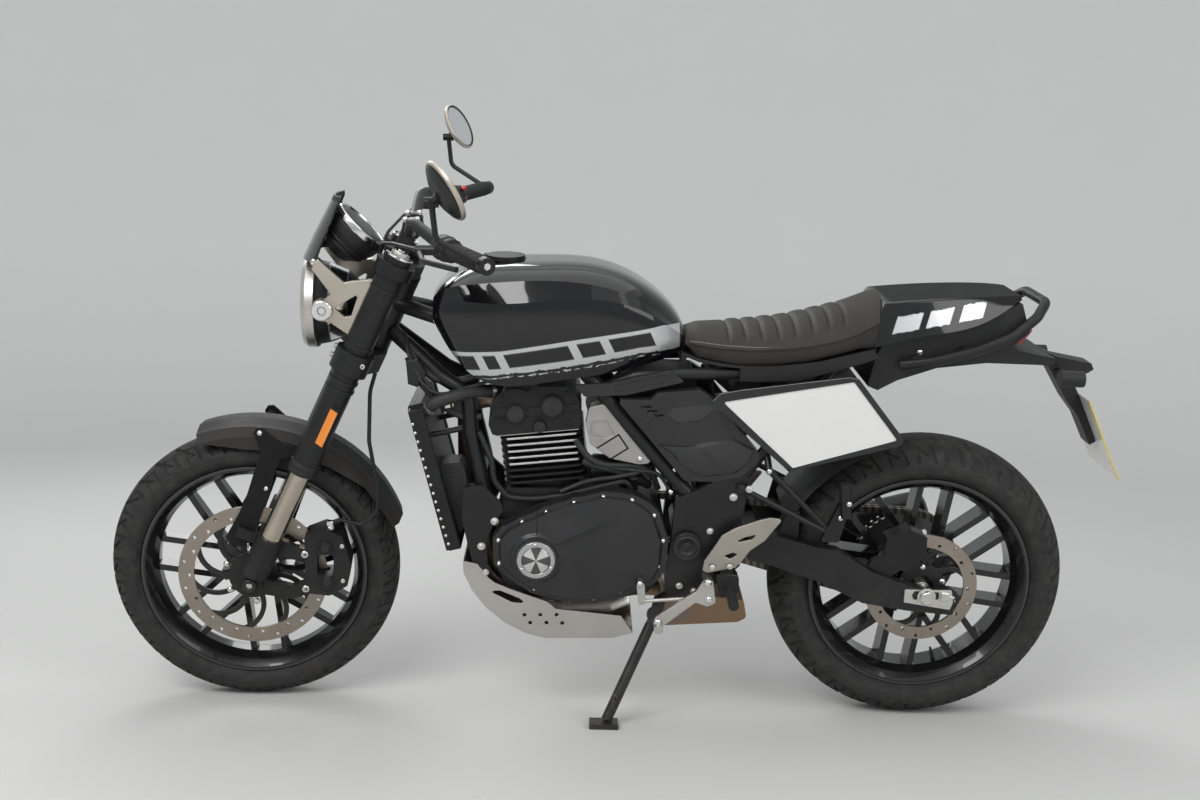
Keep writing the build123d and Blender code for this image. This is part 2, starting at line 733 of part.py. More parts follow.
def main_frame():
    """Head tube, two main rails, two downtubes with engine plates, and the pivot plates."""
    rail = main_rail(frame_tube_radius)
    engine_plate = side_plate([(936, 505), (900, 512), (862, 478), (856, 462), (872, 436), (886, 405),
                               (888, 372), (884, 330), (905, 312), (925, 380), (938, 440)],
                              case_half_width + slip_gap, case_half_width + 9, 4)
    spacer = cross_bar(898, 468, 12, 60, case_half_width + 5)
    boss = cross_bar(893, 335, 13, case_half_width + 6, skid_half_width - 3 - slip_gap)
    plate = side_plate([(515, 500), (470, 520), (400, 565), (374, 548), (378, 490), (386, 430), (380, 362),
                        (420, 322), (452, 318), (452, 292), (524, 290), (528, 340), (520, 420)],
                       pivot_plate_inner, pivot_plate_outer, 6)
    half = rail + down_tube(frame_tube_radius) + engine_plate + spacer + boss + plate
    cross = cross_bar(905, 520, 11, -70, 70) + cross_bar(470, 492, 12, -110, 110)
    frame = head_tube() + half + mirrored(half) + cross
    pivot = cross_bar(pivot_x, pivot_z, pivot_bolt_radius + slip_gap, -200, 200)
    return frame - stem_bore() - pivot + stand_bracket()


def stand_place():
    """The stand's own frame: origin on its pivot, X along the leg, Z along the hinge."""
    leg = Vector(*stand_foot, ground_height(*stand_foot)) - Vector(*stand_pivot)
    hinge = leg.cross(Vector(*stand_folded)).normalized()
    return Plane(origin=Vector(*stand_pivot), x_dir=leg.normalized(), z_dir=hinge), leg.length


def stand_bracket():
    """A lug under the left pivot plate, behind the stand's eye, with the hinge bolt through it."""
    place = stand_place()[0]
    back = stand_eye_thickness / 2 + 1
    lug_thickness = 9.5
    lug = extrude(Circle(17), lug_thickness) + Rot(0, 0, stand_lug_turn) * Pos(
        19, 0, lug_thickness / 2) * Box(38, 24, lug_thickness)
    lug = Pos(0, 0, -back - lug_thickness) * lug
    bolt = Pos(0, 0, -back - 1) * extrude(Circle(6), back * 2)
    head = Pos(0, 0, back - 0.5) * extrude(Circle(10), 6)
    low = placed(Location(place) * Rot(0, 0, stand_lug_turn), (36, 0, -back - lug_thickness / 2))
    post = rod(low, (498, 108, 306), 9)
    return place * (lug + bolt + head) + post


def side_stand():
    """The stand: an eye on the hinge bolt, a leg, a toe prong and a pad flat on the ground."""
    place, length = stand_place()
    eye = Pos(0, 0, -stand_eye_thickness / 2) * extrude(Circle(17), stand_eye_thickness)
    neck = Pos(19, 0, 0) * Box(22, 20, stand_eye_thickness)
    leg = Pos(23, 0, 0) * Rot(0, 90, 0) * extrude(Circle(stand_leg_radius), length - 37)
    prong = rod((length - 62, 0, 4), (length - 68, 0, 50), 4.5)
    bore = Pos(0, 0, -20) * extrude(Circle(6 + running_gap), 40)
    foot = placed(rest_place, (*stand_foot, ground_height(*stand_foot)))
    pad = rest_place.inverse() * Pos(foot.X, foot.Y, 5) * Box(58, 44, 10)
    return place * (eye + neck + leg + prong - bore) + pad


def subframe_brace(radius):
    """The left strut from the pivot plate up to the seat rail."""
    return rod((390, 108, 536), (222, 88, 768), radius)


def subframe():
    """The seat rails, their braces down to the pivot plates, and two cross tubes."""
    rail = bent_tube([(664, 78, 714), (600, subframe_spread, 742), (400, subframe_spread, 752),
                      (285, subframe_spread, 760), (170, 66, 795), (-60, 56, 832)],
                     subframe_tube_radius, [60, 200, 100, 100])
    half = rail + subframe_brace(subframe_tube_radius - 1)
    cross = cross_bar(455, 750, 11, -subframe_spread, subframe_spread)
    cross += cross_bar(0, 822, 10, -62, 62)
    return half + mirrored(half) + cross - main_frame()


# ---- engine ----
def engine_case():
    """The crankcase between its side covers, narrowed on the right for the chain."""
    case = side_plate([(866, 330), (872, 440), (850, 500), (700, 503), (640, 520), (560, 480), (534, 440),
                       (534, 330), (562, 288), (640, 272), (800, 274), (850, 300)],
                      -case_half_width, case_half_width, 14)
    chain_side = side_plate([(500, 250), (500, 530), (648, 530), (648, 250)], -case_half_width - 1, -72)
    shoulder = side_plate([(640, 540), (640, 515), (723, 498), (790, 472), (852, 438), (890, 438),
                           (890, 540)], hose_ledge, case_half_width + 1)
    return case - chain_side - shoulder


def left_cover_outline():
    """The alternator cover's outline in side view."""
    return [(872, 403), (855, 433), (790, 468), (723, 494), (660, 511), (607, 508), (560, 485), (533, 430),
            (529, 370), (545, 328), (590, 304), (650, 282), (720, 278), (790, 294), (850, 332), (872, 368)]


def drawn_in(outline, share):
    """An outline shrunk towards its middle."""
    middle_x = sum(x for x, z in outline) / len(outline)
    middle_z = sum(z for x, z in outline) / len(outline)
    return [(middle_x + (x - middle_x) * share, middle_z + (z - middle_z) * share) for x, z in outline]


def swollen_cover(outline, y_from, y_to, crown):
    """A cast cover: a straight wall, then a crowned face that draws in."""
    face = Plane.XZ * make_face(Spline(*outline, periodic=True))
    top = Plane.XZ * make_face(Spline(*drawn_in(outline, 0.93), periodic=True))
    wall = Pos(0, y_to, 0) * extrude(face, y_to - y_from, dir=(0, -1, 0))
    return wall + loft([Pos(0, y_to, 0) * face, Pos(0, y_to + crown, 0) * top])


def left_engine_cover():
    """The alternator cover, with its round inspection cap and the gear shaft's hole."""
    start = case_half_width + slip_gap
    cover = swollen_cover(left_cover_outline(), start, start + left_cover_depth - 14, 14)
    face = case_half_width + left_cover_depth
    flange = cross_bar(inspection_cap_x, inspection_cap_z, inspection_cap_radius + 5, start, face + 4)
    cap = cross_bar(inspection_cap_x, inspection_cap_z, inspection_cap_radius, start, face + 8)
    shaft_hole = cross_bar(gear_shaft_x, gear_shaft_z, gear_shaft_radius + running_gap, start + 20, 300)
    return cover + flange + cap - shaft_hole


def right_engine_cover():
    """The clutch cover and the sprocket cover behind it."""
    start = case_half_width + slip_gap
    clutch = cross_bar(clutch_x, clutch_z, 100, start, start + right_cover_depth - 14)
    clutch += cross_bar(clutch_x, clutch_z, 86, start, start + right_cover_depth - 4)
    clutch += cross_bar(828, 372, 34, start, start + 30)
    clutch += side_plate([(560, 330), (548, 400), (570, 455), (640, 480), (700, 470), (700, 320), (620, 310)],
                         start, start + 14, 10)
    return mirrored(clutch)


def barrel():
    """A finned barrel that leans a little forward."""
    core = extrude(RectangleRounded(128, 132, 30), barrel_height)
    for index in range(fin_count):
        fin = extrude(RectangleRounded(166, 2 * cylinder_half_width, 22), fin_thickness)
        core += Pos(0, 0, 10 + index * fin_pitch) * fin
    block = Pos(*cylinder_foot) * Rot(0, cylinder_lean, 0) * (Pos(0, 0, -16) * extrude(
        RectangleRounded(128, 132, 30), 20) + core)
    return block - side_plate([(500, 300), (500, 520.5), (640, 520.5), (700, 503.3), (850, 500.3), (900, 480),
                               (900, 300)], -200, 200)


def cylinder_head():
    """The head and its cover, with the bosses of the two camshafts."""
    body = side_plate([(886, 664), (889, 631), (881, 611), (842, 601), (714, 616), (706, 640), (710, 682),
                       (718, 697), (738, 713), (793, 712), (812, 700), (832, 706), (859, 702), (876, 685)],
                      -cylinder_half_width, cylinder_half_width, 3)
    for x, z, r in ((836, 656, 19), (764, 673, 23), (788, 632, 13)):
        body += cross_bar(x, z, r, -cylinder_half_width - 7, cylinder_half_width + 7)
    belt = side_plate([(881, 650), (858, 650), (837, 646), (817, 652), (784, 655), (761, 662), (741, 660),
                       (712, 668), (712, 680), (741, 675), (761, 684), (784, 671), (817, 667), (837, 672),
                       (858, 667), (881, 665)], -cylinder_half_width - 4, cylinder_half_width + 4)
    body = body + belt
    under = Pos(*cylinder_foot) * Rot(0, cylinder_lean, 0) * (Pos(
        0, 0, barrel_height + slip_gap - 300) * extrude(Rectangle(400, 400), 300))
    return body - under


def cylinder():
    """The top end: the finned barrel and the head on it."""
    return together(barrel(), cylinder_head())


def injector_covers():
    """A bright cover each side of the throttle body, ahead of the frame rail."""
    cover = side_plate([(698, 640), (692, 676), (664, 684), (600, 612), (560, 566), (590, 562), (648, 573),
                        (688, 602)], 66 + slip_gap, 98, 8)
    window = side_plate([(690, 620), (684, 648), (656, 650), (640, 622), (660, 612)], 92, 99, 5)
    keep = cover - window - main_rail(frame_tube_radius + slip_gap)
    return both_sides(largest(keep))


def airbox():
    """The airbox and battery tray, closed, behind the throttle."""
    return side_plate([(650, 560), (650, 690), (610, 738), (482, 738), (482, 560)], -66, 66, 12)


# ---- exhaust ----
def muffler_mouth():
    """Where the silencer begins, and the direction it runs in."""
    return Vector(316, -166, 284), Vector(-380, -14, 100)


def exhaust_header():
    """The header down between the tubes, the collector box under the engine, and the link pipe."""
    pipe = bent_tube([(879, 0, 665.4), (940, -4, 650), (940, -34, 470), (897, -46, 372), (897, -50, 237),
                      (515, -50, 237)], 18, [34, 80, 80, 110])
    collar = rod((874, 0, 666), (894, 0, 661), 26)
    port_face = side_plate([(800, 600), (800, 720), (866, 706), (876.4, 685.2), (886.4, 664.1),
                            (889.4, 631), (881.3, 610.8), (860, 606)], -60, 60)
    box = side_plate([(530, 200), (530, 276), (360, 262), (352, 222), (370, 212)], -92, 62, 10)
    mouth, along = muffler_mouth()
    elbow = mouth - along * 0.21
    link = bent_tube([(elbow.X, -60, 242), elbow, mouth], 19, 45)
    return (pipe + collar - port_face) + box + link


def muffler():
    """A short upswept silencer on the right, with a bored outlet."""
    mouth, along = muffler_mouth()
    length = along.length
    body = turned_z([(0, slip_gap), (20, slip_gap), (44, 30), (46, 40), (46, length - 30),
                     (42, length - 8), (30, length), (26, length), (24, length - 60), (0, length - 60)])
    return Plane(origin=mouth, z_dir=along) * body


def breather_hose():
    """The hose from the left downtube back along the engine's shoulder and into the case."""
    middle = hose_ledge + breather_radius + running_gap
    points = [(908, 70, 612), (882, middle - 4, 560), (876, middle, 516), (848, middle, 484),
              (800, middle, 480), (737, middle, 491), (658, middle, 513), (612, middle - 4, 524), (598, 80, 490)]
    hose = bent_tube(points, breather_radius, [30, 40, 24, 200, 200, 100, 14])
    return largest(hose - down_tube(frame_tube_radius + running_gap) - engine_case())


def radiator():
    """A slanted radiator core between two tanks, ahead of the downtubes, with its fan shroud behind."""
    low = Vector(952, 0, 372)
    high = Vector(1031, 0, 673)
    place = Plane(origin=low, x_dir=(0, 1, 0), z_dir=(high - low))
    length = (high - low).length
    core = extrude(Rectangle(200, 24), length)
    tank = Pos(109, 0, 8) * extrude(RectangleRounded(18, 30, 5), length - 16)
    half = place * (core + tank)
    for start, end in (((1004, 60, 600), (930, 60, 618)), ((972, 64, 492), (896, 71, 502))):
        half += largest(rod(start, end, 6) - down_tube(frame_tube_radius + slip_gap))
    shroud = side_plate([(986, 546), (942, 550), (932, 522), (928, 470), (930, 430), (940, 406), (950, 403)],
                        24, 80, 5)
    return half + mirrored(half) + shroud - down_tube(frame_tube_radius + running_gap)


def skid_plate():
    """A bright sump guard: one bent sheet with two side wings, drilled and slotted."""
    bottom = [(935, 353), (934, 327), (916, 289), (889, 254), (849, 220), (807, 199), (767, 189),
              (630, 193), (589, 205)]
    top = [(615, 242), (748, 254), (764, 269), (829, 291), (872, 308), (884, 318), (906, 347)]
    skin = 3.0
    tub = side_plate(bottom + top, -skid_half_width, skid_half_width)
    inside = [(935 - skin, 360), (934 - skin, 328), (916 - skin, 291), (889 - skin, 256.5), (848, 223.5),
              (806, 202.3), (766, 192), (630, 196), (580, 210), (580, 360)]
    half_inside = skid_half_width - skin
    tub -= side_plate(inside, -half_inside, half_inside)
    slot = side_plate([(884, 290), (860, 291), (820, 275), (808, 264), (836, 266)], -150, 150, 3)
    tub -= slot
    for x, z in ((810, 239), (778, 240), (745, 241), (798, 222), (765, 223), (733, 223)):
        tub -= cross_bar(x, z, 4, -150, 150)
    return tub


# ---- tank, seat and tail ----
def tank_section(x, bottom, bottom_half, side, side_half, ledge, crease, crease_half, top):
    """One cross-section of the tank: flat below, a bowed side, a ledge, and a domed top."""
    place = Plane(origin=(x, 0, 0), x_dir=(0, 1, 0), z_dir=(1, 0, 0))
    low_right = [(-bottom_half, bottom), (-side_half, side), (-side_half + 3, ledge), (-crease_half, crease)]
    dome = [(-crease_half, crease), (-crease_half * 0.78, crease + (top - crease) * 0.62), (0, top),
            (crease_half * 0.78, crease + (top - crease) * 0.62), (crease_half, crease)]
    low_left = [(-y, z) for y, z in reversed(low_right)]
    edges = [Line((bottom_half, bottom), (-bottom_half, bottom)), Spline(*low_right[:3]),
             Line(low_right[2], low_right[3]), Spline(*dome), Line(low_left[0], low_left[1]),
             Spline(*low_left[1:])]
    return place * make_face(Curve() + edges)


def fuel_tank():
    """A saddle tank with a long ledge along each side, a frame tunnel and a filler neck."""
    stations = [
        (997, 836, 84, 852, 96, 868, 882, 86, 892),
        (950, 768, 108, 830, 130, 886, 912, 116, 928),
        (880, 722, 116, 820, 138, 884, 921, 119, 946),
        (780, 728, 116, 822, 139, 892, 928, 119, 951.5),
        (680, 744, 108, 822, 132, 896, 919, 112, 947),
        (600, 760, 92, 818, 118, 876, 891, 98, 918),
        (545, 774, 74, 808, 92, 843, 851, 78, 879),
        (512, 790, 56, 806, 66, 818, 824, 57, 835),
    ]
    body = loft([tank_section(*station) for station in stations])
    tunnel = side_plate([(1020, 700), (1020, 857.5), (960, 841.5), (765, 815.5), (720, 806), (650, 790),
                         (560, 764), (470, 700)], -80, 80)
    head_room = side_plate([(698, 700), (698, 748), (902, 744), (902, 700)], -93, 93)
    neck = Pos(filler_x, 0, 880) * extrude(Circle(filler_radius), 100)
    neck += Pos(filler_x, 0, filler_top) * extrude(Circle(cap_radius + 3), 60)
    rail = main_rail(frame_tube_radius + running_gap)
    return body - tunnel - head_room - neck - rail - mirrored(rail)


def fuel_cap():
    """A flat hinged cap over the filler neck."""
    cap = Pos(filler_x, 0, filler_top + running_gap) * extrude(Circle(cap_radius), 9)
    knuckle = cross_bar(filler_x + cap_radius + 2, filler_top + 5, 4.4, -12, 12)
    return cap + knuckle


def seat_section(x, half, seam, crown):
    """One cross-section of the seat: upright sides up to the seam, and a domed top."""
    place = Plane(origin=(x, 0, 0), x_dir=(0, 1, 0), z_dir=(1, 0, 0))
    shoulder = seam + (crown - seam) * 0.64
    dome = [(-half, seam), (-half * 0.8, shoulder), (0, crown), (half * 0.8, shoulder), (half, seam)]
    floor = 740.0
    edges = [Line((half, floor), (-half, floor)), Line((-half, floor), (-half, seam)), Spline(*dome),
             Line((half, seam), (half, floor))]
    return place * make_face(Curve() + edges)


def seat():
    """The one-piece seat: narrow at the tank, domed, and ramped up to the tail."""
    stations = [(508, 66, 804, 818), (480, 86, 806, 827), (430, 105, 805, 829), (370, 117, 806, 834),
                (300, seat_half_width, 812, 843), (250, seat_half_width, 819, 856), (198, 121, 831, 870),
                (160, 118, 845, 884), (120, 114, 868, 902)]
    body = loft([seat_section(*station) for station in stations])
    reach = side_plate([(508, 800), (508, 930), (126, 930), (126, 905), (139, 880), (150, 813), (251, 786),
                        (328, 776), (405, 772), (482, 778)], -seat_half_width - 5, seat_half_width + 5)
    return largest(body & reach)


def seat_base():
    """The black pan under the seat, hollow below, with the seat rails inside it."""
    top = [(150, 812.6), (251, 785.6), (328, 775.6), (405, 771.6), (482, 777.6), (514, 786)]
    bottom = [(514, 758), (499, 745), (479, 740), (363, 741), (286, 747), (192, 776), (136, 796)]
    slab = side_plate(top + bottom, -116, 116)
    inside = side_plate([(160, 700), (160, 803), (251, 780), (328, 770), (405, 766), (482, 771), (505, 778),
                         (505, 700)], -109, 109)
    plan = flat_plate([(520, -70), (440, -106), (320, -116), (120, -116), (120, 116), (320, 116), (440, 106),
                       (520, 70)], 700, 900)
    return (slab & plan) - inside - subframe()


def cowl_section(x, bottom, bottom_half, top, top_half):
    """One cross-section of the cowl: flat below, with rounded upper corners."""
    place = Plane(origin=(x, 0, 0), x_dir=(0, 1, 0), z_dir=(1, 0, 0))
    edge = min(7.0, (top - bottom) * 0.3)
    face = Polygon((-bottom_half, bottom), (bottom_half, bottom), (top_half, top), (-top_half, top), align=None)
    return place * fillet(face.vertices().group_by(Axis.Y)[-1], edge)


def seat_cowl():
    """The gloss tail cowl that closes the seat."""
    body = loft([cowl_section(160, 815, 115, 896, 88), cowl_section(110, 827, 114, 901, 87),
                 cowl_section(40, 843, 111, 908, 86), cowl_section(-50, 863, 103, 914, 81),
                 cowl_section(-110, 892, 84, 916, 71), cowl_section(-142, 907, 64, 915, 60)])
    reach = side_plate([(125.4, 960), (125.4, 904.8), (138.4, 879.8), (149.4, 812.5), (60, 800), (-200, 800),
                        (-200, 960)], -140, 140)
    return largest(body & reach)


def tail_fairing():
    """The black moulding under the cowl, open below, that carries the lamp and the plate hanger."""
    outline = [(122, 823), (38, 842.5), (-50, 862), (-110, 890.8), (-138, 903.9), (-150, 870), (-158, 848),
               (-128, 820), (-140, 812), (-214, 798), (-214, 784), (-80, 785), (16, 772), (91, 745), (128, 724),
               (148, 732), (136, 795)]
    slab = side_plate(outline, -fairing_half_width, fairing_half_width)
    inside = side_plate([(110, 700), (110, 815), (-50, 848), (-120, 870), (-120, 826), (-60, 800), (-60, 700)],
                        -78, 78)
    return slab - inside - subframe() - Pos(0, 0, -cowl_gap) * seat_cowl()


def tail_light():
    """A red wedge lamp across the tail."""
    return side_plate([(-129, 819.6), (-140, 812.4), (-158, 818), (-176, 844), (-170, 850), (-158.5, 848)],
                      -46, 46)


def grab_rail():
    """A bar that wraps the tail from one side to the other."""
    half = [(92, 97, 780), (30, 107, 791), (-50, 107, 813), (-119, 103, 841), (-166, 93, 880), (-190, 62, 904)]
    points = half + [(x, -y, z) for x, y, z in reversed(half)]
    bar = bent_tube(points, 10, [40, 80, 80, 30, 26, 26, 30, 80, 80, 40])
    feet = cross_bar(64, 785, 12, fairing_half_width + slip_gap, 103)
    feet += cross_bar(-34, 808, 12, fairing_half_width + slip_gap, 106)
    return bar + feet + mirrored(feet)


def plate_hanger():
    """The arm behind the tail for the plate, with a lamp on a stalk each side."""
    arm = side_plate([(-214.3, 798), (-214.3, 784), (-226, 766), (-268, 700), (-298, 664), (-328, 606),
                      (-340, 614), (-312, 672), (-292, 712), (-272, 748), (-305, 756), (-316, 764), (-310, 776),
                      (-240, 788)], -24, 24)
    stalk = cross_bar(-244, 762, 6, 20, 100)
    lamp = Pos(-240, 112, 765) * Rot(0, 90, 0) * Cylinder(16, 46)
    half = stalk + lamp
    return arm + half + mirrored(half)


def licence_plate():
    """A blank plate, bent once near its top, behind the hanger."""
    face = [(-292.6, 712), (-312.6, 672), (-340.6, 614), (-374, 550), (-376, 551), (-342.8, 615),
            (-314.8, 673), (-295, 713)]
    return side_plate(face, -plate_half_width, plate_half_width)


# ---- side covers ----
def side_panels():
    """A moulded panel each side behind the frame rail, stepped and slotted."""
    outline = [(640, 700), (574, 702), (562, 716), (479, 724), (448, 704), (400, 648), (354, 596), (358, 580),
               (390, 548), (440, 538), (500, 538)]
    panel = side_plate(outline, 98, panel_face, 6)
    for index in range(3):
        x = 590 - index * 12
        panel -= side_plate([(x, 683 - index * 8), (x + 4, 688 - index * 8), (x - 16, 691 - index * 8),
                             (x - 20, 686 - index * 8)], panel_face - 6, panel_face + 1)
    plates = side_plate([(517, 500), (470, 522.5), (400, 567.5), (371, 549), (375, 480), (525, 480)],
                        pivot_plate_inner - 1, pivot_plate_outer + 1)
    panel -= main_rail(frame_tube_radius + running_gap)
    trim = side_plate([(722, 724), (653, 730), (540, 759), (508, 737), (560, 723), (621, 707), (702, 702)],
                      104.4, 113, 3)
    trim -= side_plate([(648, 725), (548, 751), (532, 742), (548, 734), (642, 713)], 110, 114, 3)
    panel = largest(panel - subframe_brace(subframe_tube_radius) - plates)
    return together(both_sides(panel), both_sides(trim - main_rail(frame_tube_radius + running_gap)))


def number_boards():
    """A blank board each side in a raised border, on posts from the brace and the side panel."""
    outline = [(458, 706), (442, 724), (402, 732), (197, 763), (178, 760), (82, 643), (89, 629), (293, 573),
               (309, 579)]
    board = side_plate(outline, board_inner, board_inner + 8, 6)
    board -= side_plate([(436, 708), (188, 755), (95, 641), (293, 579)], board_inner + 6, board_inner + 9, 3)
    rear_post = cross_bar(*board_rear_post, board_post_radius, 94, board_inner + 1)
    rear_post -= subframe_brace(subframe_tube_radius)
    front_post = cross_bar(*board_front_post, board_post_radius, panel_face + slip_gap, board_inner + 1)
    return both_sides(largest(board + rear_post + front_post))


# ---- rear end ----
def swingarm():
    """A two-sided arm: the right side stands outside the chain, bridged between its runs."""
    outline = [(366, 436), (316, 426), (229, 402), (183, 396), (109, 350), (29, 322), (-57, 303), (-62, 262),
               (36, 270), (126, 284), (216, 327), (316, 360), (366, 372)]
    arm = side_plate(outline, *left_arm, 6) + side_plate(outline, *right_arm, 6)
    inner = side_plate([(508, 424), (340, 412), (340, 374), (508, 384)], -76, 76)
    inner -= side_plate([(470, 300), (470, 500), (404, 500), (404, 300)], -48, 48)
    inner -= cross_bar(*shock_low, 15, -18, 18)
    arm += inner
    arm += side_plate([(366, 412), (336, 412), (336, 372), (366, 372)], -110, 90)
    tube = cross_bar(pivot_x, pivot_z, 24, -76, 76)
    left_boss = cross_bar(pivot_x, pivot_z, 17, 70, pivot_plate_inner - running_gap)
    right_boss = cross_bar(pivot_x, pivot_z, 17, -pivot_plate_inner + running_gap, -70)
    lug = side_plate([(372, 410), (398, 410), (398, 436), (386, 446), (372, 440)], -28, -18)
    arm += tube + left_boss + right_boss + lug + mirrored(lug)
    arm -= cross_bar(pivot_x, pivot_z, pivot_bolt_radius + slip_gap, -200, 200)
    arm -= cross_bar(0, rear_tyre_radius, axle_radius + slip_gap, -200, 200)
    arm -= cross_bar(*shock_low, shock_bolt_radius + slip_gap, -60, 60)
    return arm


def swingarm_pivot():
    """The pivot bolt through the plates, with a round cap each side."""
    bolt = cross_bar(pivot_x, pivot_z, pivot_bolt_radius, -pivot_plate_outer - 4, pivot_plate_outer + 4)
    cap = cross_bar(pivot_x, pivot_z, 28, pivot_plate_outer + slip_gap, pivot_plate_outer + 8)
    return bolt + cap + mirrored(cap)


def rear_axle():
    """The axle pin, its spacers, and an adjuster block on each arm."""
    spacer_from = rear_hub_width / 2 + running_gap
    pin = cross_bar(0, rear_tyre_radius, axle_radius, -136, 127)
    for low, high in ((spacer_from, left_arm[0] - slip_gap), (right_arm[1] + slip_gap, -spacer_from)):
        pin += cross_bar(0, rear_tyre_radius, axle_radius + 5, low, high)
    plate = side_plate([(43, 290), (43, 318), (-52, 318), (-57, 292), (-52, 276)], left_arm[1] + slip_gap,
                       left_arm[1] + 5, 3)
    nut = cross_bar(0, rear_tyre_radius, 15, left_arm[1] + 5, left_arm[1] + 12)
    nut += cross_bar(0, rear_tyre_radius, 15, -136, right_arm[0] - slip_gap)
    return pin + plate + nut


def rear_shock():
    """The single shock between the swingarm and the seat rails: damper, spring and eyes."""
    low = Vector(shock_low[0], 0, shock_low[1])
    high = Vector(shock_high[0], 0, shock_high[1])
    along = high - low
    place = Plane(origin=low, z_dir=along)
    length = along.length
    body = extrude(Circle(9), length)
    for index in range(8):
        body += Pos(0, 0, 70 + index * 22) * extrude(Circle(30), 11)
    body += Pos(0, 0, 54) * extrude(Circle(33), 8) + Pos(0, 0, 70 + 8 * 22) * extrude(Circle(33), 8)
    shock = place * body
    shock += cross_bar(*shock_low, 13, -17.7, 17.7)
    shock += cross_bar(*shock_high, 14, -17, 17)
    return shock + cross_bar(*shock_low, shock_bolt_radius, -34, 34)


def chain():
    """The drive chain: a loop of side plates with rollers across its two straight runs."""
    rear = (0.0, rear_tyre_radius)
    front = (front_sprocket_x, front_sprocket_z)
    rear_radius = chain_pitch / (2 * sin(pi / rear_sprocket_teeth))
    front_radius = chain_pitch / (2 * sin(pi / front_sprocket_teeth))
    half_height = 7.0
    span = hypot(front[0] - rear[0], front[1] - rear[1])
    slope = atan2(front[1] - rear[1], front[0] - rear[0])
    spread = asin((rear_radius - front_radius) / span)

    def loop(grow):
        outer = Pos(*rear) * Circle(rear_radius + grow) + Pos(*front) * Circle(front_radius + grow)
        corners = []
        for side, turn in ((1, slope + pi / 2 - spread), (-1, slope - pi / 2 + spread)):
            near = (rear[0] + (rear_radius + grow) * cos(turn), rear[1] + (rear_radius + grow) * sin(turn))
            far = (front[0] + (front_radius + grow) * cos(turn), front[1] + (front_radius + grow) * sin(turn))
            corners.append((near, far))
        return outer + Polygon(corners[0][0], corners[0][1], corners[1][1], corners[1][0], align=None)

    band = loop(half_height) - loop(-half_height)
    strip = Plane.XZ * band
    plate_gap = sprocket_thickness / 2 + 0.5
    plate = extrude(strip, 4.5, dir=(0, -1, 0))
    result = Pos(0, chain_y - plate_gap, 0) * plate + Pos(0, chain_y + plate_gap + 4.5, 0) * plate
    for side in (1, -1):
        turn = slope + side * (pi / 2 - spread)
        near = (rear[0] + rear_radius * cos(turn), rear[1] + rear_radius * sin(turn))
        far = (front[0] + front_radius * cos(turn), front[1] + front_radius * sin(turn))
        run = hypot(far[0] - near[0], far[1] - near[1])
        for index in range(5, int(run / chain_pitch) - 4):
            share = index * chain_pitch / run
            x = near[0] + (far[0] - near[0]) * share
            z = near[1] + (far[1] - near[1]) * share
            result += cross_bar(x, z, 4.2, chain_y - 5, chain_y + 5)
    return result


def hugger():
    """A close mudguard over the front of the rear tyre, on tabs from the arm."""
    inner = [(312, 80), (324, 70), (327, 0)]
    outer = [(312, 82.6), (326, 73), (330, 0)]
    section = outer + [(r, -y) for r, y in reversed(outer[:-1])]
    section += [(r, -y) for r, y in inner[:-1]] + [(r, y) for r, y in reversed(inner)]
    guard = rear_axle_place * Rot(0, -66, 0) * revolve(Polygon(*section, align=None), Axis.Y, 38)
    left_tab = side_plate([(302, 422.4), (262, 411.4), (262, 468), (286, 468)], 80, left_arm[0] + 4)
    right_tab = side_plate([(302, 422.4), (262, 411.4), (262, 474), (290, 474)], right_arm[1] - 8,
                           right_arm[1] - 3)
    bar = cross_bar(276, 466, 6, right_arm[1] - 5, -79)
    return guard + left_tab + right_tab + bar


def rear_caliper():
    """A small sliding caliper astride the rear disc, above the arm."""
    body = side_plate([(88, 372), (84, 420), (40, 440), (4, 424), (0, 384), (30, 352), (60, 350)], 58, 98, 6)
    half_slot = disc_thickness / 2 + caliper_gap
    slot = cross_bar(0, rear_tyre_radius, rear_disc_radius + caliper_gap, rear_disc_y - half_slot,
                     rear_disc_y + half_slot)
    arm = side_plate([(84, 384), (110, 372), (118, 358.5), (100, 347.3), (70, 336.9), (50, 352)], left_arm[0], 98)
    return body - slot + arm


# ---- foot controls ----
def peg_hangers():
    """Each side's heel guard on two bosses from the pivot plate, and the rider's peg."""
    guard = side_plate([(458, 362), (455, 383), (435, 416), (423, 437), (398, 453), (350, 471), (331, 476),
                        (306, 474), (320, 455), (338, 429), (366, 407), (380, 386), (393, 370), (446, 358)],
                       146, 151, 4)
    guard -= side_plate([(402, 421), (380, 434), (354, 442), (364, 430)], 140, 160, 2)
    guard -= side_plate([(418, 394), (400, 402), (390, 398), (404, 388)], 140, 160, 2)
    for x, z in ((439, 371), (405, 374)):
        guard += cross_bar(x, z, 7, pivot_plate_outer + slip_gap, 154)
    block = side_plate([(432, 354), (385, 352), (385, 316), (420, 306)], pivot_plate_outer + slip_gap, 156, 6)
    block += side_plate([(422, 352), (396, 350), (396, 366), (420, 366)], pivot_plate_outer + slip_gap, 144)
    peg = cross_bar(404, 330, 10, 150, 246)
    return both_sides(guard + block + peg)


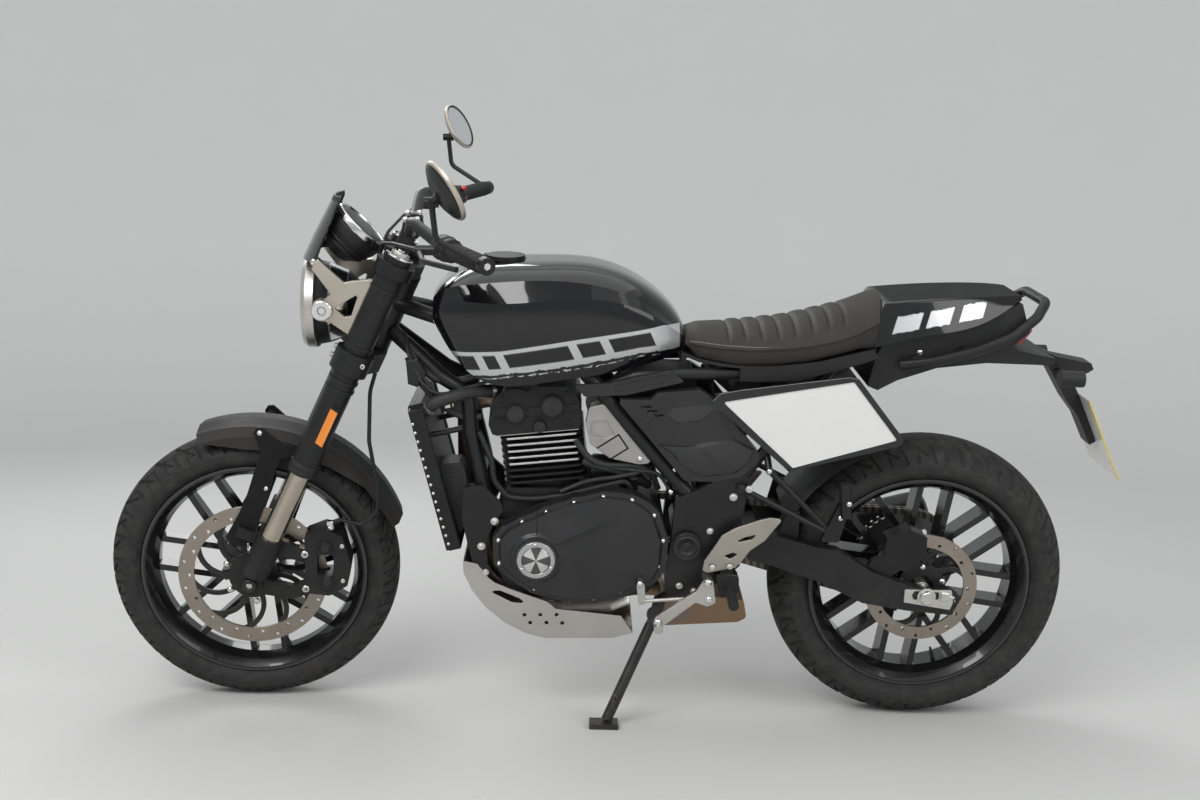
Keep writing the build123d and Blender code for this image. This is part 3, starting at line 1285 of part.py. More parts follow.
def gear_lever():
    """The two-arm gear lever with its toe peg, the link rod, and the arm on the gear shaft."""
    lever_arm = side_plate([(455, 349), (437, 347), (430, 300), (446, 292), (470, 300), (536, 244), (552, 252),
                            (548, 266), (470, 324)], 160, 167, 5)
    hub = cross_bar(lever_pivot_x, lever_pivot_z, 9, pivot_plate_outer + slip_gap, 171)
    toe = cross_bar(543, 255, 9, 160, 200)
    rod_end = cross_bar(469, 304, 5, 150, 161)
    link = rod((469, 153, 304), (576, 153, 294), 3.5)
    arm = side_plate([(588, 332), (572, 334), (568, 290), (582, 286)], 150, 156, 4)
    shaft = cross_bar(gear_shaft_x, gear_shaft_z, gear_shaft_radius, case_half_width + 22, 158)
    return lever_arm + hub + toe + rod_end + link + arm + shaft


def brake_pedal():
    """The rear brake pedal on the right, with its toe pad."""
    arm = side_plate([(456, 350), (436, 350), (434, 322), (470, 300), (560, 262), (600, 268), (598, 280),
                      (560, 278), (474, 322)], 160, 167, 5)
    hub = cross_bar(lever_pivot_x, lever_pivot_z, 9, pivot_plate_outer + slip_gap, 171)
    pad = cross_bar(594, 274, 8, 160, 200)
    return mirrored(arm + hub + pad)


def foot_levers():
    """The gear lever on the left and the brake pedal on the right."""
    return together(gear_lever(), brake_pedal())


def pillion_hangers():
    """Two struts each side that meet at a folded passenger peg."""
    first = rod((388, 127, 528), (210, 130, 440), 6)
    second = rod((336, 126, 566), (206, 130, 442), 6)
    foot = cross_bar(388, 528, 9, pivot_plate_outer + slip_gap, 132)
    pad = largest(rod((341, 99, 603), (336, 128, 566), 7) - subframe_brace(subframe_tube_radius))
    knuckle = side_plate([(226, 424), (190, 424), (172, 500), (190, 512), (208, 470)], 122, 138, 4)
    peg = rod((188, 140, 548), (180, 140, 478), 11)
    return both_sides(first + second + foot + pad + knuckle + peg)


# ---- rest pose ----
def contact_drop(radius, width, tilt):
    """How far a leaning tyre's lowest point lies below its axle."""
    crown = crown_radius(radius, width)
    return (radius - crown) * sqrt(1 - tilt * tilt) + crown


lean_place = Rot(-rest_lean, 0, 0)
steer_place = (fork_place * Pos(-stem_offset, 0, 0) * Rot(0, 0, rest_steer) * Pos(stem_offset, 0, 0)
               * fork_place.inverse())


def axle_rise(axle_place, radius, width):
    """How much a leaning wheel must rise for its tyre to touch the floor, and where its axle is."""
    centre = placed(lean_place * axle_place, (0, 0, 0))
    side = placed(lean_place * axle_place, (0, 1, 0)) - centre
    return contact_drop(radius, width, side.Z) - centre.Z, centre.X


rear_rise, rear_at = axle_rise(rear_axle_place, rear_tyre_radius, rear_tyre_width)
front_rise, front_at = axle_rise(steer_place * front_axle_place, front_tyre_radius, front_tyre_width)
rest_pitch = degrees(atan((front_rise - rear_rise) / (front_at - rear_at)))
rest_place = Pos(0, 0, rear_rise) * Rot(0, -rest_pitch, 0) * lean_place


def ground_height(x, y):
    """The floor's height below a point (x, y), in the upright bike's own frame."""
    low = placed(rest_place, (x, y, 0))
    high = placed(rest_place, (x, y, 1))
    return -low.Z / (high.Z - low.Z)


steering_nodes = {
    "fork_lowers": fork_lowers,
    "fork_uppers": fork_uppers,
    "yokes": yokes,
    "front_axle": front_axle,
    "front_fender": front_fender,
    "front_caliper": front_caliper,
    "brake_hose": brake_hose,
    "control_lines": control_lines,
    "headlight": headlight,
    "headlight_lens": headlight_lens,
    "headlight_brackets": headlight_brackets,
    "flyscreen": flyscreen,
    "instrument": instrument,
    "handlebar": handlebar,
    "grips": grips,
    "bar_controls": bar_controls,
    "mirrors": mirrors,
    "mirror_glasses": mirror_glasses,
}
front_wheel_nodes = {
    "front_rim": lambda: front_axle_place * cast_wheel(
        front_rim_width, front_spoke_pairs, front_hub_width, front_spoke_turn),
    "front_tyre": lambda: front_axle_place * tyre(front_tyre_radius, front_tyre_width, front_rim_width),
    "front_disc": lambda: front_axle_place * brake_disc(
        front_disc_radius, front_disc_inner_radius, front_disc_y, front_disc_holes, 10, front_hub_width / 2),
}
rear_wheel_nodes = {
    "rear_rim": lambda: rear_axle_place * cast_wheel(
        rear_rim_width, rear_spoke_pairs, rear_hub_width, rear_spoke_turn),
    "rear_tyre": lambda: rear_axle_place * tyre(rear_tyre_radius, rear_tyre_width, rear_rim_width),
    "rear_disc": lambda: rear_axle_place * brake_disc(
        rear_disc_radius, rear_disc_inner_radius, rear_disc_y, rear_disc_holes, 8, rear_hub_width / 2),
    "rear_sprocket": lambda: rear_axle_place * sprocket(),
}
stand_nodes = {"side_stand": side_stand}
cap_nodes = {"fuel_cap": fuel_cap}
chassis_nodes = {
    "main_frame": main_frame,
    "subframe": subframe,
    "engine_case": engine_case,
    "cylinder": cylinder,
    "breather_hose": breather_hose,
    "engine_covers": lambda: together(left_engine_cover(), right_engine_cover()),
    "radiator": radiator,
    "exhaust_header": exhaust_header,
    "muffler": muffler,
    "skid_plate": skid_plate,
    "fuel_tank": fuel_tank,
    "seat": seat,
    "seat_base": seat_base,
    "seat_cowl": seat_cowl,
    "tail_fairing": tail_fairing,
    "tail_light": tail_light,
    "grab_rail": grab_rail,
    "plate_hanger": plate_hanger,
    "licence_plate": licence_plate,
    "side_panels": side_panels,
    "number_boards": number_boards,
    "injector_covers": injector_covers,
    "airbox": airbox,
    "swingarm": swingarm,
    "swingarm_pivot": swingarm_pivot,
    "rear_axle": rear_axle,
    "rear_shock": rear_shock,
    "chain": chain,
    "hugger": hugger,
    "rear_caliper": rear_caliper,
    "peg_hangers": peg_hangers,
    "pillion_hangers": pillion_hangers,
    "foot_levers": foot_levers,
}


def built(nodes, place):
    """Each node's shape at rest."""
    return {name: place * make() for name, make in nodes.items()}


def rest_shapes():
    """Every node at rest, with the origin on the floor in the middle of the footprint."""
    shapes = {}
    shapes.update(built(steering_nodes, rest_place * steer_place))
    shapes.update(built(front_wheel_nodes, rest_place * steer_place))
    for nodes in (rear_wheel_nodes, stand_nodes, cap_nodes, chassis_nodes):
        shapes.update(built(nodes, rest_place))
    boxes = [shape.bounding_box() for shape in shapes.values()]
    middle_x = (min(box.min.X for box in boxes) + max(box.max.X for box in boxes)) / 2
    middle_y = (min(box.min.Y for box in boxes) + max(box.max.Y for box in boxes)) / 2
    centred = Pos(-middle_x, -middle_y, 0)
    return {name: centred * shape for name, shape in shapes.items()}, centred


if __name__ == "__main__":
    os.makedirs("parts", exist_ok=True)
    all_shapes, centred = rest_shapes()
    for name, shape in all_shapes.items():
        export_step(shape, f"parts/{name}.step")
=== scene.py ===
import bmesh
import bpy
import json
import math
import numpy as np
from mathutils import Matrix, Vector


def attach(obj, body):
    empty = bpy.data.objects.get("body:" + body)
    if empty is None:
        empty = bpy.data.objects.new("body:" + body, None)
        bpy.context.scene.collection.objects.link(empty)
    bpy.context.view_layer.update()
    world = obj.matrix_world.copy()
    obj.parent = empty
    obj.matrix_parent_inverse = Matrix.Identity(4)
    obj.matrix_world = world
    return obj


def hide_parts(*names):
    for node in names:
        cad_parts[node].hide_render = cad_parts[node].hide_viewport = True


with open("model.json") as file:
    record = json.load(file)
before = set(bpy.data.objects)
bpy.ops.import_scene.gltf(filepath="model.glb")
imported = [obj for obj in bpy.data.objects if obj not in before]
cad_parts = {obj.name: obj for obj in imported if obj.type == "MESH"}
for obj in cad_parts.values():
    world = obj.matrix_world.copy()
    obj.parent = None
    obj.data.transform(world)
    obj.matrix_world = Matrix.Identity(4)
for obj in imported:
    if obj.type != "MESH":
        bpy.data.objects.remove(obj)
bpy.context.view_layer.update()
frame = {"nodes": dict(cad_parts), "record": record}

nodes = frame["nodes"]
print("stage: frame loaded")

# The bike leans on its stand. bikeFrame puts its own upright millimetres into the scene, forkFrame
# has its origin on the front axle and z up the fork, and steerFrame is bikeFrame turned with the
# bars. All of them come from the joints.
stance = {"rearRadius": 306.0, "frontRadius": 293.0, "wheelbase": 1371.0, "rake": 24.4, "capHinge": (904.0, 952.0)}
axleX = stance["wheelbase"]


def jointNamed(name):
    return [j for j in frame["record"]["behaviour"]["joints"] if j["name"] == name][0]


def unit(v):
    v = np.asarray(v, float)
    return v / np.linalg.norm(v)


def frameOf(origin, x, y, z):
    m = np.eye(4)
    m[:3, 0], m[:3, 1], m[:3, 2], m[:3, 3] = x, y, z, origin
    return m


def bikeMatrix():
    rear = jointNamed("rear_wheel_spin")
    cap = jointNamed("fuel_cap_lift")
    across = unit(rear["axis"])
    span = np.array(cap["pos_m"]) - np.array(rear["pos_m"])
    span = unit(span - across * span.dot(across))
    side = np.cross(span, across)  # the span turned a quarter in the bike's own plane
    rise = math.atan2(stance["capHinge"][1] - stance["rearRadius"], stance["capHinge"][0])
    x = math.cos(rise) * span - math.sin(rise) * side
    z = math.sin(rise) * span + math.cos(rise) * side
    return frameOf(np.array(rear["pos_m"]) - z * stance["rearRadius"] / 1000, x, across, z)


def forkMatrix():
    axle = jointNamed("front_wheel_spin")
    y = unit(axle["axis"])
    z = np.array(jointNamed("steering_turn")["axis"])
    z = unit(z - y * z.dot(y))
    return frameOf(np.array(axle["pos_m"]), np.cross(y, z), y, z)


def turnY(degrees):
    a = math.radians(degrees)
    m = np.eye(4)
    m[0, 0], m[0, 2], m[2, 0], m[2, 2] = math.cos(a), math.sin(a), -math.sin(a), math.cos(a)
    return m


bikeFrame = bikeMatrix()
forkFrame = forkMatrix()
forkDrawn = turnY(-stance["rake"])
forkDrawn[:3, 3] = (axleX / 1000, 0, stance["frontRadius"] / 1000)
steerFrame = forkFrame @ np.linalg.inv(forkDrawn)
rearAxle = bikeFrame.copy()
rearAxle[:3, 3] = jointNamed("rear_wheel_spin")["pos_m"]
frontAxle = steerFrame.copy()
frontAxle[:3, 3] = forkFrame[:3, 3]


def put(points, where):
    # millimetres in a frame to metres in the scene
    return np.asarray(points, float) / 1000 @ where[:3, :3].T + where[:3, 3]


# Shader values. A Wire wraps a socket, and arithmetic on it makes Math nodes.
class Wire:
    colour = False

    def __init__(self, tree, socket):
        self.tree, self.socket = tree, socket

    def make(self, kind, settings=None, inputs=None, out=0):
        node = self.tree.nodes.new(kind)
        for key, value in (settings or {}).items():
            setattr(node, key, value)
        for key, value in (inputs or {}).items():
            if isinstance(value, Wire):
                self.tree.links.new(value.socket, node.inputs[key])
            else:
                node.inputs[key].default_value = value
        return Wire(self.tree, node.outputs[out])

    def math(self, operation, other=None, swapped=False):
        pair = [self] if other is None else [other, self] if swapped else [self, other]
        return self.make("ShaderNodeMath", {"operation": operation}, dict(enumerate(pair)))

    def __add__(self, other): return self.math("ADD", other)
    def __radd__(self, other): return self.math("ADD", other)
    def __sub__(self, other): return self.math("SUBTRACT", other)
    def __rsub__(self, other): return self.math("SUBTRACT", other, True)
    def __mul__(self, other): return self.math("MULTIPLY", other)
    def __rmul__(self, other): return self.math("MULTIPLY", other)
    def __abs__(self): return self.math("ABSOLUTE")
    def least(self, other): return self.math("MINIMUM", other)
    def most(self, other): return self.math("MAXIMUM", other)
    def over(self, other): return self.math("DIVIDE", other)
    def sine(self): return self.math("SINE")
    def fraction(self): return self.math("FRACT")

    def wave(self, rate):
        # a sine along this value, from 0 to 1
        return (self * rate).sine() * 0.5 + 0.5

    def step(self, edge, soft):
        # 0 below the edge, 1 above it, over a width of soft
        ranged = {"From Min": edge - soft / 2, "From Max": edge + soft / 2}
        return self.make("ShaderNodeMapRange", {"clamp": True}, {"Value": self, **ranged})

    def between(self, low, high, soft):
        return self.step(low, soft) * (1.0 - self.step(high, soft))

    def mix(self, low, high):
        # low where this is 0, high where it is 1; numbers or colours
        if isinstance(low, (tuple, list)) or isinstance(high, (tuple, list)) or getattr(low, "colour", False):
            inputs = {0: self, 6: rgba(low), 7: rgba(high)}
            made = self.make("ShaderNodeMix", {"data_type": "RGBA"}, inputs, out=2)
            made.colour = True
            return made
        return self * high + (1.0 - self) * low


def rgba(colour):
    return colour if isinstance(colour, Wire) else (*colour[:3], 1.0)


def lengthOf(a, b):
    # the root of a squared and b squared
    return (a * a + b * b).math("SQRT")


class Kit:
    # what a finish is made from: coordinates, noises and frames in one material's tree
    def __init__(self, tree):
        self.tree = tree
        self.at = Wire(tree, tree.nodes.new("ShaderNodeTexCoord").outputs["Object"])
        self.frames = {}

    def inFrame(self, matrix):
        # object coordinates turned into a frame's millimetres, split into x, y and z
        key = tuple(np.round(matrix, 6).ravel())
        if key not in self.frames:
            back = np.linalg.inv(matrix)
            turn = Matrix(back[:3, :3].tolist()).to_euler("XYZ")
            moved = self.at.make("ShaderNodeMapping", {"vector_type": "POINT"}, {
                "Vector": self.at, "Location": (back[:3, 3] * 1000).tolist(), "Rotation": turn,
                "Scale": (1000, 1000, 1000)})
            split = self.tree.nodes.new("ShaderNodeSeparateXYZ")
            self.tree.links.new(moved.socket, split.inputs[0])
            self.frames[key] = [Wire(self.tree, o) for o in split.outputs]
        return self.frames[key]

    def flat(self, value):
        return self.at.make("ShaderNodeMath", {"operation": "ADD"}, {0: value, 1: 0.0})

    def noise(self, scale, detail=3.0, rough=0.55, where=None):
        inputs = {"Vector": where or self.at, "Scale": scale, "Detail": detail, "Roughness": rough}
        return self.at.make("ShaderNodeTexNoise", None, inputs)

    def drawn(self, detail, rough, x, y, z):
        # noise stretched along the axes whose values are small
        return self.noise(1.0, detail, rough, self.at.make("ShaderNodeCombineXYZ", None, {0: x, 1: y, 2: z}))

    def cells(self, scale, feature="F1"):
        return self.at.make("ShaderNodeTexVoronoi", {"feature": feature}, {"Vector": self.at, "Scale": scale})


def finish(colour, rough, metal=0.0, coat=0.0, height=0.0):
    return {"colour": colour, "rough": rough, "metal": metal, "coat": coat, "height": height}


def blended(mask, a, b):
    # finish a where the mask is 0, and b where it is 1
    made = {}
    for key in a:
        same = not isinstance(a[key], Wire) and a[key] == b[key]
        made[key] = a[key] if same else mask.mix(a[key], b[key])
    return made


def connect(tree, shader, values):
    # each value goes onto its own socket, as a link or as a plain number or colour
    for key, value in values.items():
        if isinstance(value, Wire):
            tree.links.new(value.socket, shader.inputs[key])
        else:
            shader.inputs[key].default_value = rgba(value) if isinstance(value, tuple) else value


def paint(name, recipe, fixed=None, edge=0.0):
    # a Principled material from a recipe that takes a Kit and returns a finish; height and edge are in
    # millimetres, and edge rounds the shading over the sharp edges
    made = bpy.data.materials.new(name)
    made.use_nodes = True
    kit = Kit(made.node_tree)
    look = recipe(kit)
    values = {"Base Color": look["colour"], "Roughness": look["rough"], "Metallic": look["metal"],
              "Coat Weight": look["coat"], **(fixed or {})}
    if "glow" in look:
        values["Emission Color"] = look["glow"]
    normal = {"Normal": kit.at.make("ShaderNodeBevel", {"samples": 4}, {"Radius": edge / 1000})} if edge else {}
    if isinstance(look["height"], Wire):
        bump = {"Strength": 0.35, "Distance": 0.001, "Height": look["height"], **normal}
        normal = {"Normal": kit.at.make("ShaderNodeBump", None, bump)}
    connect(made.node_tree, made.node_tree.nodes["Principled BSDF"], {**values, **normal})
    return made


def varied(kit, colour, spread, scale=14.0):
    # a colour that wanders by a share of itself, in broad patches
    patch = kit.noise(scale, 4.0)
    low = [c * (1 - spread) for c in colour]
    high = [min(1.0, c * (1 + spread)) for c in colour]
    return patch.step(0.5, 0.5).mix(low, high)


def worn(kit, colour, spread, rough, grain, metal=0.0, coat=0.0):
    # colour, roughness and height all wander: rough is (least, more, scale, detail) and grain (scale, height)
    least, more, scale, detail = rough
    return finish(varied(kit, colour, spread), least + more * kit.noise(scale, detail), metal, coat,
                  kit.noise(grain[0]) * grain[1])


def dusty(kit, done, reach=420.0, amount=0.35):
    # road dust: pale brown, thicker low down and in broken patches
    z = kit.inFrame(bikeFrame)[2]
    mask = (1.0 - z.step(reach * 0.5, reach)) * kit.noise(34.0, 6.0, 0.7).step(0.55, 0.5) * amount
    return blended(mask, done, finish((0.16, 0.135, 0.105), 0.85, height=done["height"]))


# The plain finishes. Each takes a Kit.
def powderBlack(kit):
    fine = kit.noise(1400.0, 2.0)
    rough = 0.28 + 0.12 * kit.noise(30.0, 5.0) + 0.06 * fine
    return dusty(kit, finish(varied(kit, (0.0115, 0.0115, 0.0125), 0.25), rough, height=fine * 0.06))


def castBlack(kit):
    grain = kit.noise(900.0, 4.0, 0.7)
    rough = 0.32 + 0.14 * kit.noise(40.0, 5.0) + 0.1 * grain
    return dusty(kit, finish(varied(kit, (0.014, 0.014, 0.015), 0.3), rough, 0.25, height=grain * 0.16))


def glossBlack(kit):
    peel = kit.noise(330.0, 2.0, 0.4)
    rough = 0.10 + 0.06 * kit.noise(18.0, 6.0)
    return finish(varied(kit, (0.0045, 0.0045, 0.0055), 0.2), rough, 0.0, 1.0, peel * 0.010)


def mouldedBlack(kit):
    rough = 0.44 + 0.14 * kit.noise(26.0, 5.0)
    return dusty(kit, finish(varied(kit, (0.0145, 0.0145, 0.0155), 0.22), rough, height=kit.cells(1100.0) * 0.12))


def brightAlloy(kit):
    fine = kit.noise(800.0)
    rough = 0.30 + 0.14 * kit.noise(46.0, 6.0) + 0.05 * fine
    return dusty(kit, finish(varied(kit, (0.56, 0.54, 0.51), 0.10), rough, 1.0, height=fine * 0.05), amount=0.25)


def anodised(kit):
    rough = 0.34 + 0.12 * kit.noise(38.0, 5.0)
    return finish(varied(kit, (0.50, 0.455, 0.39), 0.08), rough, 0.9, height=kit.noise(1200.0, 2.0) * 0.05)


def polished(kit):
    return worn(kit, (0.72, 0.72, 0.71), 0.06, (0.10, 0.12, 60.0, 6.0), (500.0, 0.02), 1.0)


def zinc(kit):
    colour = kit.noise(160.0, 4.0).step(0.5, 0.4).mix((0.60, 0.60, 0.59), (0.68, 0.66, 0.60))
    return finish(colour, 0.28 + 0.2 * kit.noise(220.0, 4.0), 1.0, height=kit.noise(900.0) * 0.05)


def tyreRubber(kit):
    grain = kit.noise(700.0, 4.0, 0.7) * 0.10
    rough = 0.62 + 0.2 * kit.noise(24.0, 6.0)
    dust = kit.noise(48.0, 6.0, 0.7).step(0.58, 0.35) * 0.30
    return blended(dust, finish(varied(kit, (0.0165, 0.0165, 0.017), 0.3, 22.0), rough, height=grain),
                   finish((0.10, 0.09, 0.078), 0.9, height=grain))


def softRubber(kit):
    rough = 0.55 + 0.18 * kit.noise(70.0, 5.0)
    return finish(varied(kit, (0.017, 0.017, 0.018), 0.25, 60.0), rough, height=kit.noise(900.0) * 0.08)


def seatVinyl(kit):
    # cellular grain with fine creases, a brown black whose roughness wanders in broad patches
    pits = kit.noise(2400.0, 2.0)
    rough = 0.44 + 0.16 * kit.noise(16.0, 5.0) + 0.10 * pits
    creases = kit.cells(620.0, "DISTANCE_TO_EDGE").least(0.12) * 2.0
    return finish(varied(kit, (0.019, 0.0168, 0.0155), 0.22, 9.0), rough, height=creases + pits * 0.05)


def spun(kit, axle, colour, rough, grooves):
    # metal brushed in circles: the noise runs along the radius and barely round it
    x, y, z = kit.inFrame(axle)
    lines = kit.drawn(2.0, 0.5, lengthOf(x, z) * grooves, y * 0.02, (x * z) * 0.00002)
    blotch = kit.noise(30.0, 5.0)
    return finish(varied(kit, colour, 0.12), rough + 0.22 * lines + 0.10 * blotch, 1.0, height=lines * 0.12)


def headerBronze(kit):
    # heat colours along the pipe, broken by soot
    z = kit.inFrame(bikeFrame)[2]
    warm = z.step(430, 380).mix((0.26, 0.175, 0.105), (0.33, 0.25, 0.19))
    blue = kit.noise(12.0, 4.0).step(0.62, 0.25).mix(warm, (0.20, 0.17, 0.17))
    rough = 0.30 + 0.22 * kit.noise(40.0, 6.0)
    return dusty(kit, finish(blue, rough, 1.0, height=kit.noise(500.0, 4.0) * 0.08))


print("stage: shader kit ready")

# The marks on the bodywork, drawn in the bike's own millimetres.
tankBand = {
    "bottom": ((505, 795), (598, 789), (674, 773), (750, 759), (864, 742), (940, 733)),
    "top": ((505, 842), (555, 847), (638, 835), (713, 823), (789, 809), (864, 795), (980, 786)),
    "blocks": ((560, 640), (656, 700), (716, 840), (856, 880), (896, 930)), "slant": 0.45, "reach": (520, 962),
    "lineReach": (560, 900), "line": (-7.0, -4.5), "ragged": 26.0,
}
cowl = {"deck": 899.0, "edge": 83.0, "baseAt": (120.0, 838.0), "rise": 0.20, "lean": 0.35, "high": 34.0,
        "blocks": ((66, 116), (6, 52), (-58, -12))}
# Where one finish gives way to another, in millimetres from the middle plane, up a part or out from an axle.
board = {"face": (143.2, 145.2)}
plate = {"band": 77.0}
headlight = {"middle": 852.0, "ahead": 181.0, "bowl": 78.0, "rim": 39.0, "bowlBack": -20.0}
screen = {"edge": 78.0, "from": 946.0, "taper": -0.19, "top": 1058.0}
fork = {"casting": 108.2, "seal": 286.0, "top": 738.5}
barrel = {"foot": (772.0, 506.0), "tilt": 6.7, "side": 82.6, "end": 82.4, "bright": (44.0, 113.5)}
levers = {"barX": 1232.0, "sweep": 0.88, "ahead": 26.0, "from": 286.0}
core = {"half": 99.0, "finRate": 2.4, "tubePitch": 9.0}
fender = {"shell": 69.2, "flank": 40.0, "blend": 14.0}
chainPitch = 15.875
guard = {"plate": (145.6, 151.4), "foot": 352.0, "rest": 152.0}
window = {"at": (652.0, 588.0), "turn": (0.82, 0.57), "half": (34.0, 15.0), "seam": 3.5}
panelFace = 108.0
spring = {"foot": (385.0, 428.0), "along": (0.2316, 0.9728), "rod": (30.0, 78.0)}


def curveZ(x, points):
    # a height that follows a polyline in side view: joined ramps between its points
    total = points[0][1]
    for (x0, z0), (x1, z1) in zip(points, points[1:]):
        ramp = x.make("ShaderNodeMapRange", {"clamp": True}, {"Value": x, "From Min": x0, "From Max": x1})
        total = ramp * (z1 - z0) + total
    return total


def tankPaint(kit):
    x, y, z = kit.inFrame(bikeFrame)
    black = glossBlack(kit)
    low, high = curveZ(x, tankBand["bottom"]), curveZ(x, tankBand["top"])
    ragged = kit.drawn(5.0, 0.75, x * 0.06, 0.0, z * 0.09) * tankBand["ragged"] - tankBand["ragged"] / 2
    above = z - low - ragged * 0.6
    band = above.step(2.0, 1.4) * (1.0 - (z - high).step(-3.0, 1.0)) * x.between(*tankBand["reach"], 3.0)
    # plain slanted blocks of uneven width in place of lettering
    slant = x - (z - low) * tankBand["slant"]
    share = (z - low).over((high - low).most(4.0))
    block = kit.flat(0.0)
    for start, end in tankBand["blocks"]:
        block = block + slant.between(start, end, 1.2)
    silver = band * (1.0 - block * share.between(0.26, 0.80, 0.05))
    metal = finish(kit.noise(200.0).mix((0.50, 0.50, 0.51), (0.66, 0.66, 0.67)), 0.24 + 0.10 * kit.cells(2600.0), 0.75,
                   1.0, black["height"])
    line = above.between(*tankBand["line"], 0.8) * x.between(*tankBand["lineReach"], 5.0)
    return blended((silver + line * kit.noise(90.0).step(0.5, 0.1)).least(1.0), black, metal)


def cowlPaint(kit):
    x, y, z = kit.inFrame(bikeFrame)
    black = glossBlack(kit)
    deck = z.step(cowl["deck"], 3.0) * (1.0 - abs(y).step(cowl["edge"], 3.0))
    matt = finish((0.012, 0.012, 0.013), 0.62 + 0.1 * kit.noise(40.0, 5.0), height=kit.noise(900.0) * 0.05)
    black = blended(deck, black, matt)
    # three slanted silver blocks along each side
    base = cowl["baseAt"][1] + (cowl["baseAt"][0] - x) * cowl["rise"]
    slant = x + (z - base) * cowl["lean"]
    ragged = kit.drawn(4.0, 0.7, x * 0.11, 0.0, z * 0.13) * 0.5 - 0.25
    inside = ((z - base) * (1 / cowl["high"]) + ragged * 0.5).between(0.10, 0.95, 0.06)
    inside = inside * abs(y).step(cowl["edge"] + 1, 3.0)
    first, second, third = (slant.between(*block, 2.0) for block in cowl["blocks"])
    silver = finish((0.62, 0.62, 0.63), 0.26, 0.6, 1.0, black["height"])
    return blended(((first + second + third) * inside).least(1.0), black, silver)


def boardPaint(kit):
    y = kit.inFrame(bikeFrame)[1]
    black = worn(kit, (0.014, 0.014, 0.015), 0.2, (0.30, 0.12, 60.0, 5.0), (700.0, 0.03), 0.0, 0.3)
    grime = kit.noise(18.0, 6.0, 0.65).step(0.6, 0.5) * 0.22
    white = finish(grime.mix((0.68, 0.68, 0.67), (0.55, 0.53, 0.50)), 0.26 + 0.14 * kit.noise(50.0, 6.0), 0.0, 0.5,
                   kit.noise(26.0, 2.0) * 0.05)
    return blended(abs(y).between(*board["face"], 0.4), black, white)


def platePaint(kit):
    y = kit.inFrame(bikeFrame)[1]
    grime = kit.noise(30.0, 6.0, 0.65).step(0.6, 0.5) * 0.3
    white = finish(grime.mix((0.74, 0.74, 0.70), (0.50, 0.47, 0.42)), 0.30 + 0.15 * kit.noise(60.0, 6.0), 0.0, 0.6,
                   kit.cells(900.0) * 0.03)
    return blended(abs(y).step(plate["band"], 0.8), white, finish((0.70, 0.50, 0.05), 0.35, 0.0, 0.6))


def lampPaint(kit):
    # a black shell with a bright rim in front and a polished bowl inside
    x, y, z = kit.inFrame(steerFrame)
    ahead = x - (axleX - headlight["ahead"])
    outside = lengthOf(y, z - headlight["middle"]).step(headlight["bowl"], 1.0)
    shell = blended(ahead.step(headlight["rim"], 0.8) * outside, castBlack(kit), brightAlloy(kit))
    return blended((1.0 - outside) * ahead.step(headlight["bowlBack"], 2.0), shell, polished(kit))


def screenPaint(kit):
    x, y, z = kit.inFrame(steerFrame)
    edge = (abs(y) - (z - screen["from"]) * screen["taper"]).step(screen["edge"], 2.0)
    tint = worn(kit, (0.010, 0.010, 0.011), 0.2, (0.12, 0.10, 24.0, 6.0), (60.0, 0.02), 0.0, 1.0)
    return blended(edge.most(z.step(screen["top"], 3.0)), tint,
                   finish((0.018, 0.018, 0.019), 0.5, height=kit.noise(900.0) * 0.06))


def lowersPaint(kit):
    x, y, z = kit.inFrame(forkFrame)
    rough = 0.16 + 0.10 * kit.drawn(3.0, 0.5, x, y, z * 0.02)
    tube = finish(varied(kit, (0.46, 0.41, 0.34), 0.06), rough, 1.0)
    return blended(z.step(fork["casting"], 0.4), castBlack(kit), tube)


def uppersPaint(kit):
    z = kit.inFrame(forkFrame)[2]
    capped = blended(z.step(fork["top"], 0.4), powderBlack(kit), brightAlloy(kit))
    return blended(1.0 - z.step(fork["seal"], 0.6), capped, finish((0.012, 0.012, 0.013), 0.28, 0.0, 0.4))


def tilted(x, z, at, degrees):
    # x and z measured from a point and turned: along = x cos a - z sin a, up = x sin a + z cos a
    a = math.radians(degrees)
    x, z = x - at[0], z - at[1]
    return x * math.cos(a) - z * math.sin(a), x * math.sin(a) + z * math.cos(a)


def cylinderPaint(kit):
    # black fins with machined edges on the upper ones, and a machined rim on the head's belt
    x, y, z = kit.inFrame(bikeFrame)
    along, up = tilted(x, z, barrel["foot"], barrel["tilt"])
    rough = 0.22 + 0.18 * kit.drawn(3.0, 0.5, x * 0.02, y * 0.02, z * 1.5)
    bright = finish(varied(kit, (0.62, 0.61, 0.59), 0.1), rough, 1.0)
    outside = abs(y).step(barrel["side"], 0.5).most(abs(along).step(barrel["end"], 0.5))
    return blended(outside * up.between(*barrel["bright"], 1.0), castBlack(kit), bright)


def controlsPaint(kit):
    # pods, clamps and the left lever black, the right lever's blade ahead of the bar polished
    x, y, z = kit.inFrame(steerFrame)
    ahead = x - (levers["barX"] - abs(y) * levers["sweep"])
    blade = ahead.step(levers["ahead"], 1.0) * abs(y).step(levers["from"], 2.0)
    left = y.step(0.0, 1.0)
    return blended(blade * (1.0 - left), blended(blade * left, mouldedBlack(kit), powderBlack(kit)), brightAlloy(kit))


def radiatorPaint(kit):
    # the core's rows of folded fins: a fine wave up it, and tubes at an even pitch across
    x, y, z = kit.inFrame(bikeFrame)
    wave = z.wave(core["finRate"])
    tubes = (y * (1 / core["tubePitch"])).fraction().between(0.0, 0.22, 0.04)
    # the colour runs from near black in the wave's troughs to dark grey on its crests, and is near black on the tubes:
    # painted shade between the folded fins and a painted highlight on their edges
    fins = finish((wave * (1.0 - tubes)).mix((0.006, 0.006, 0.006), (0.05, 0.05, 0.052)), 0.5, 0.4,
                  height=wave * 0.8 + tubes)
    return blended(abs(y).step(core["half"], 0.5), fins, castBlack(kit))


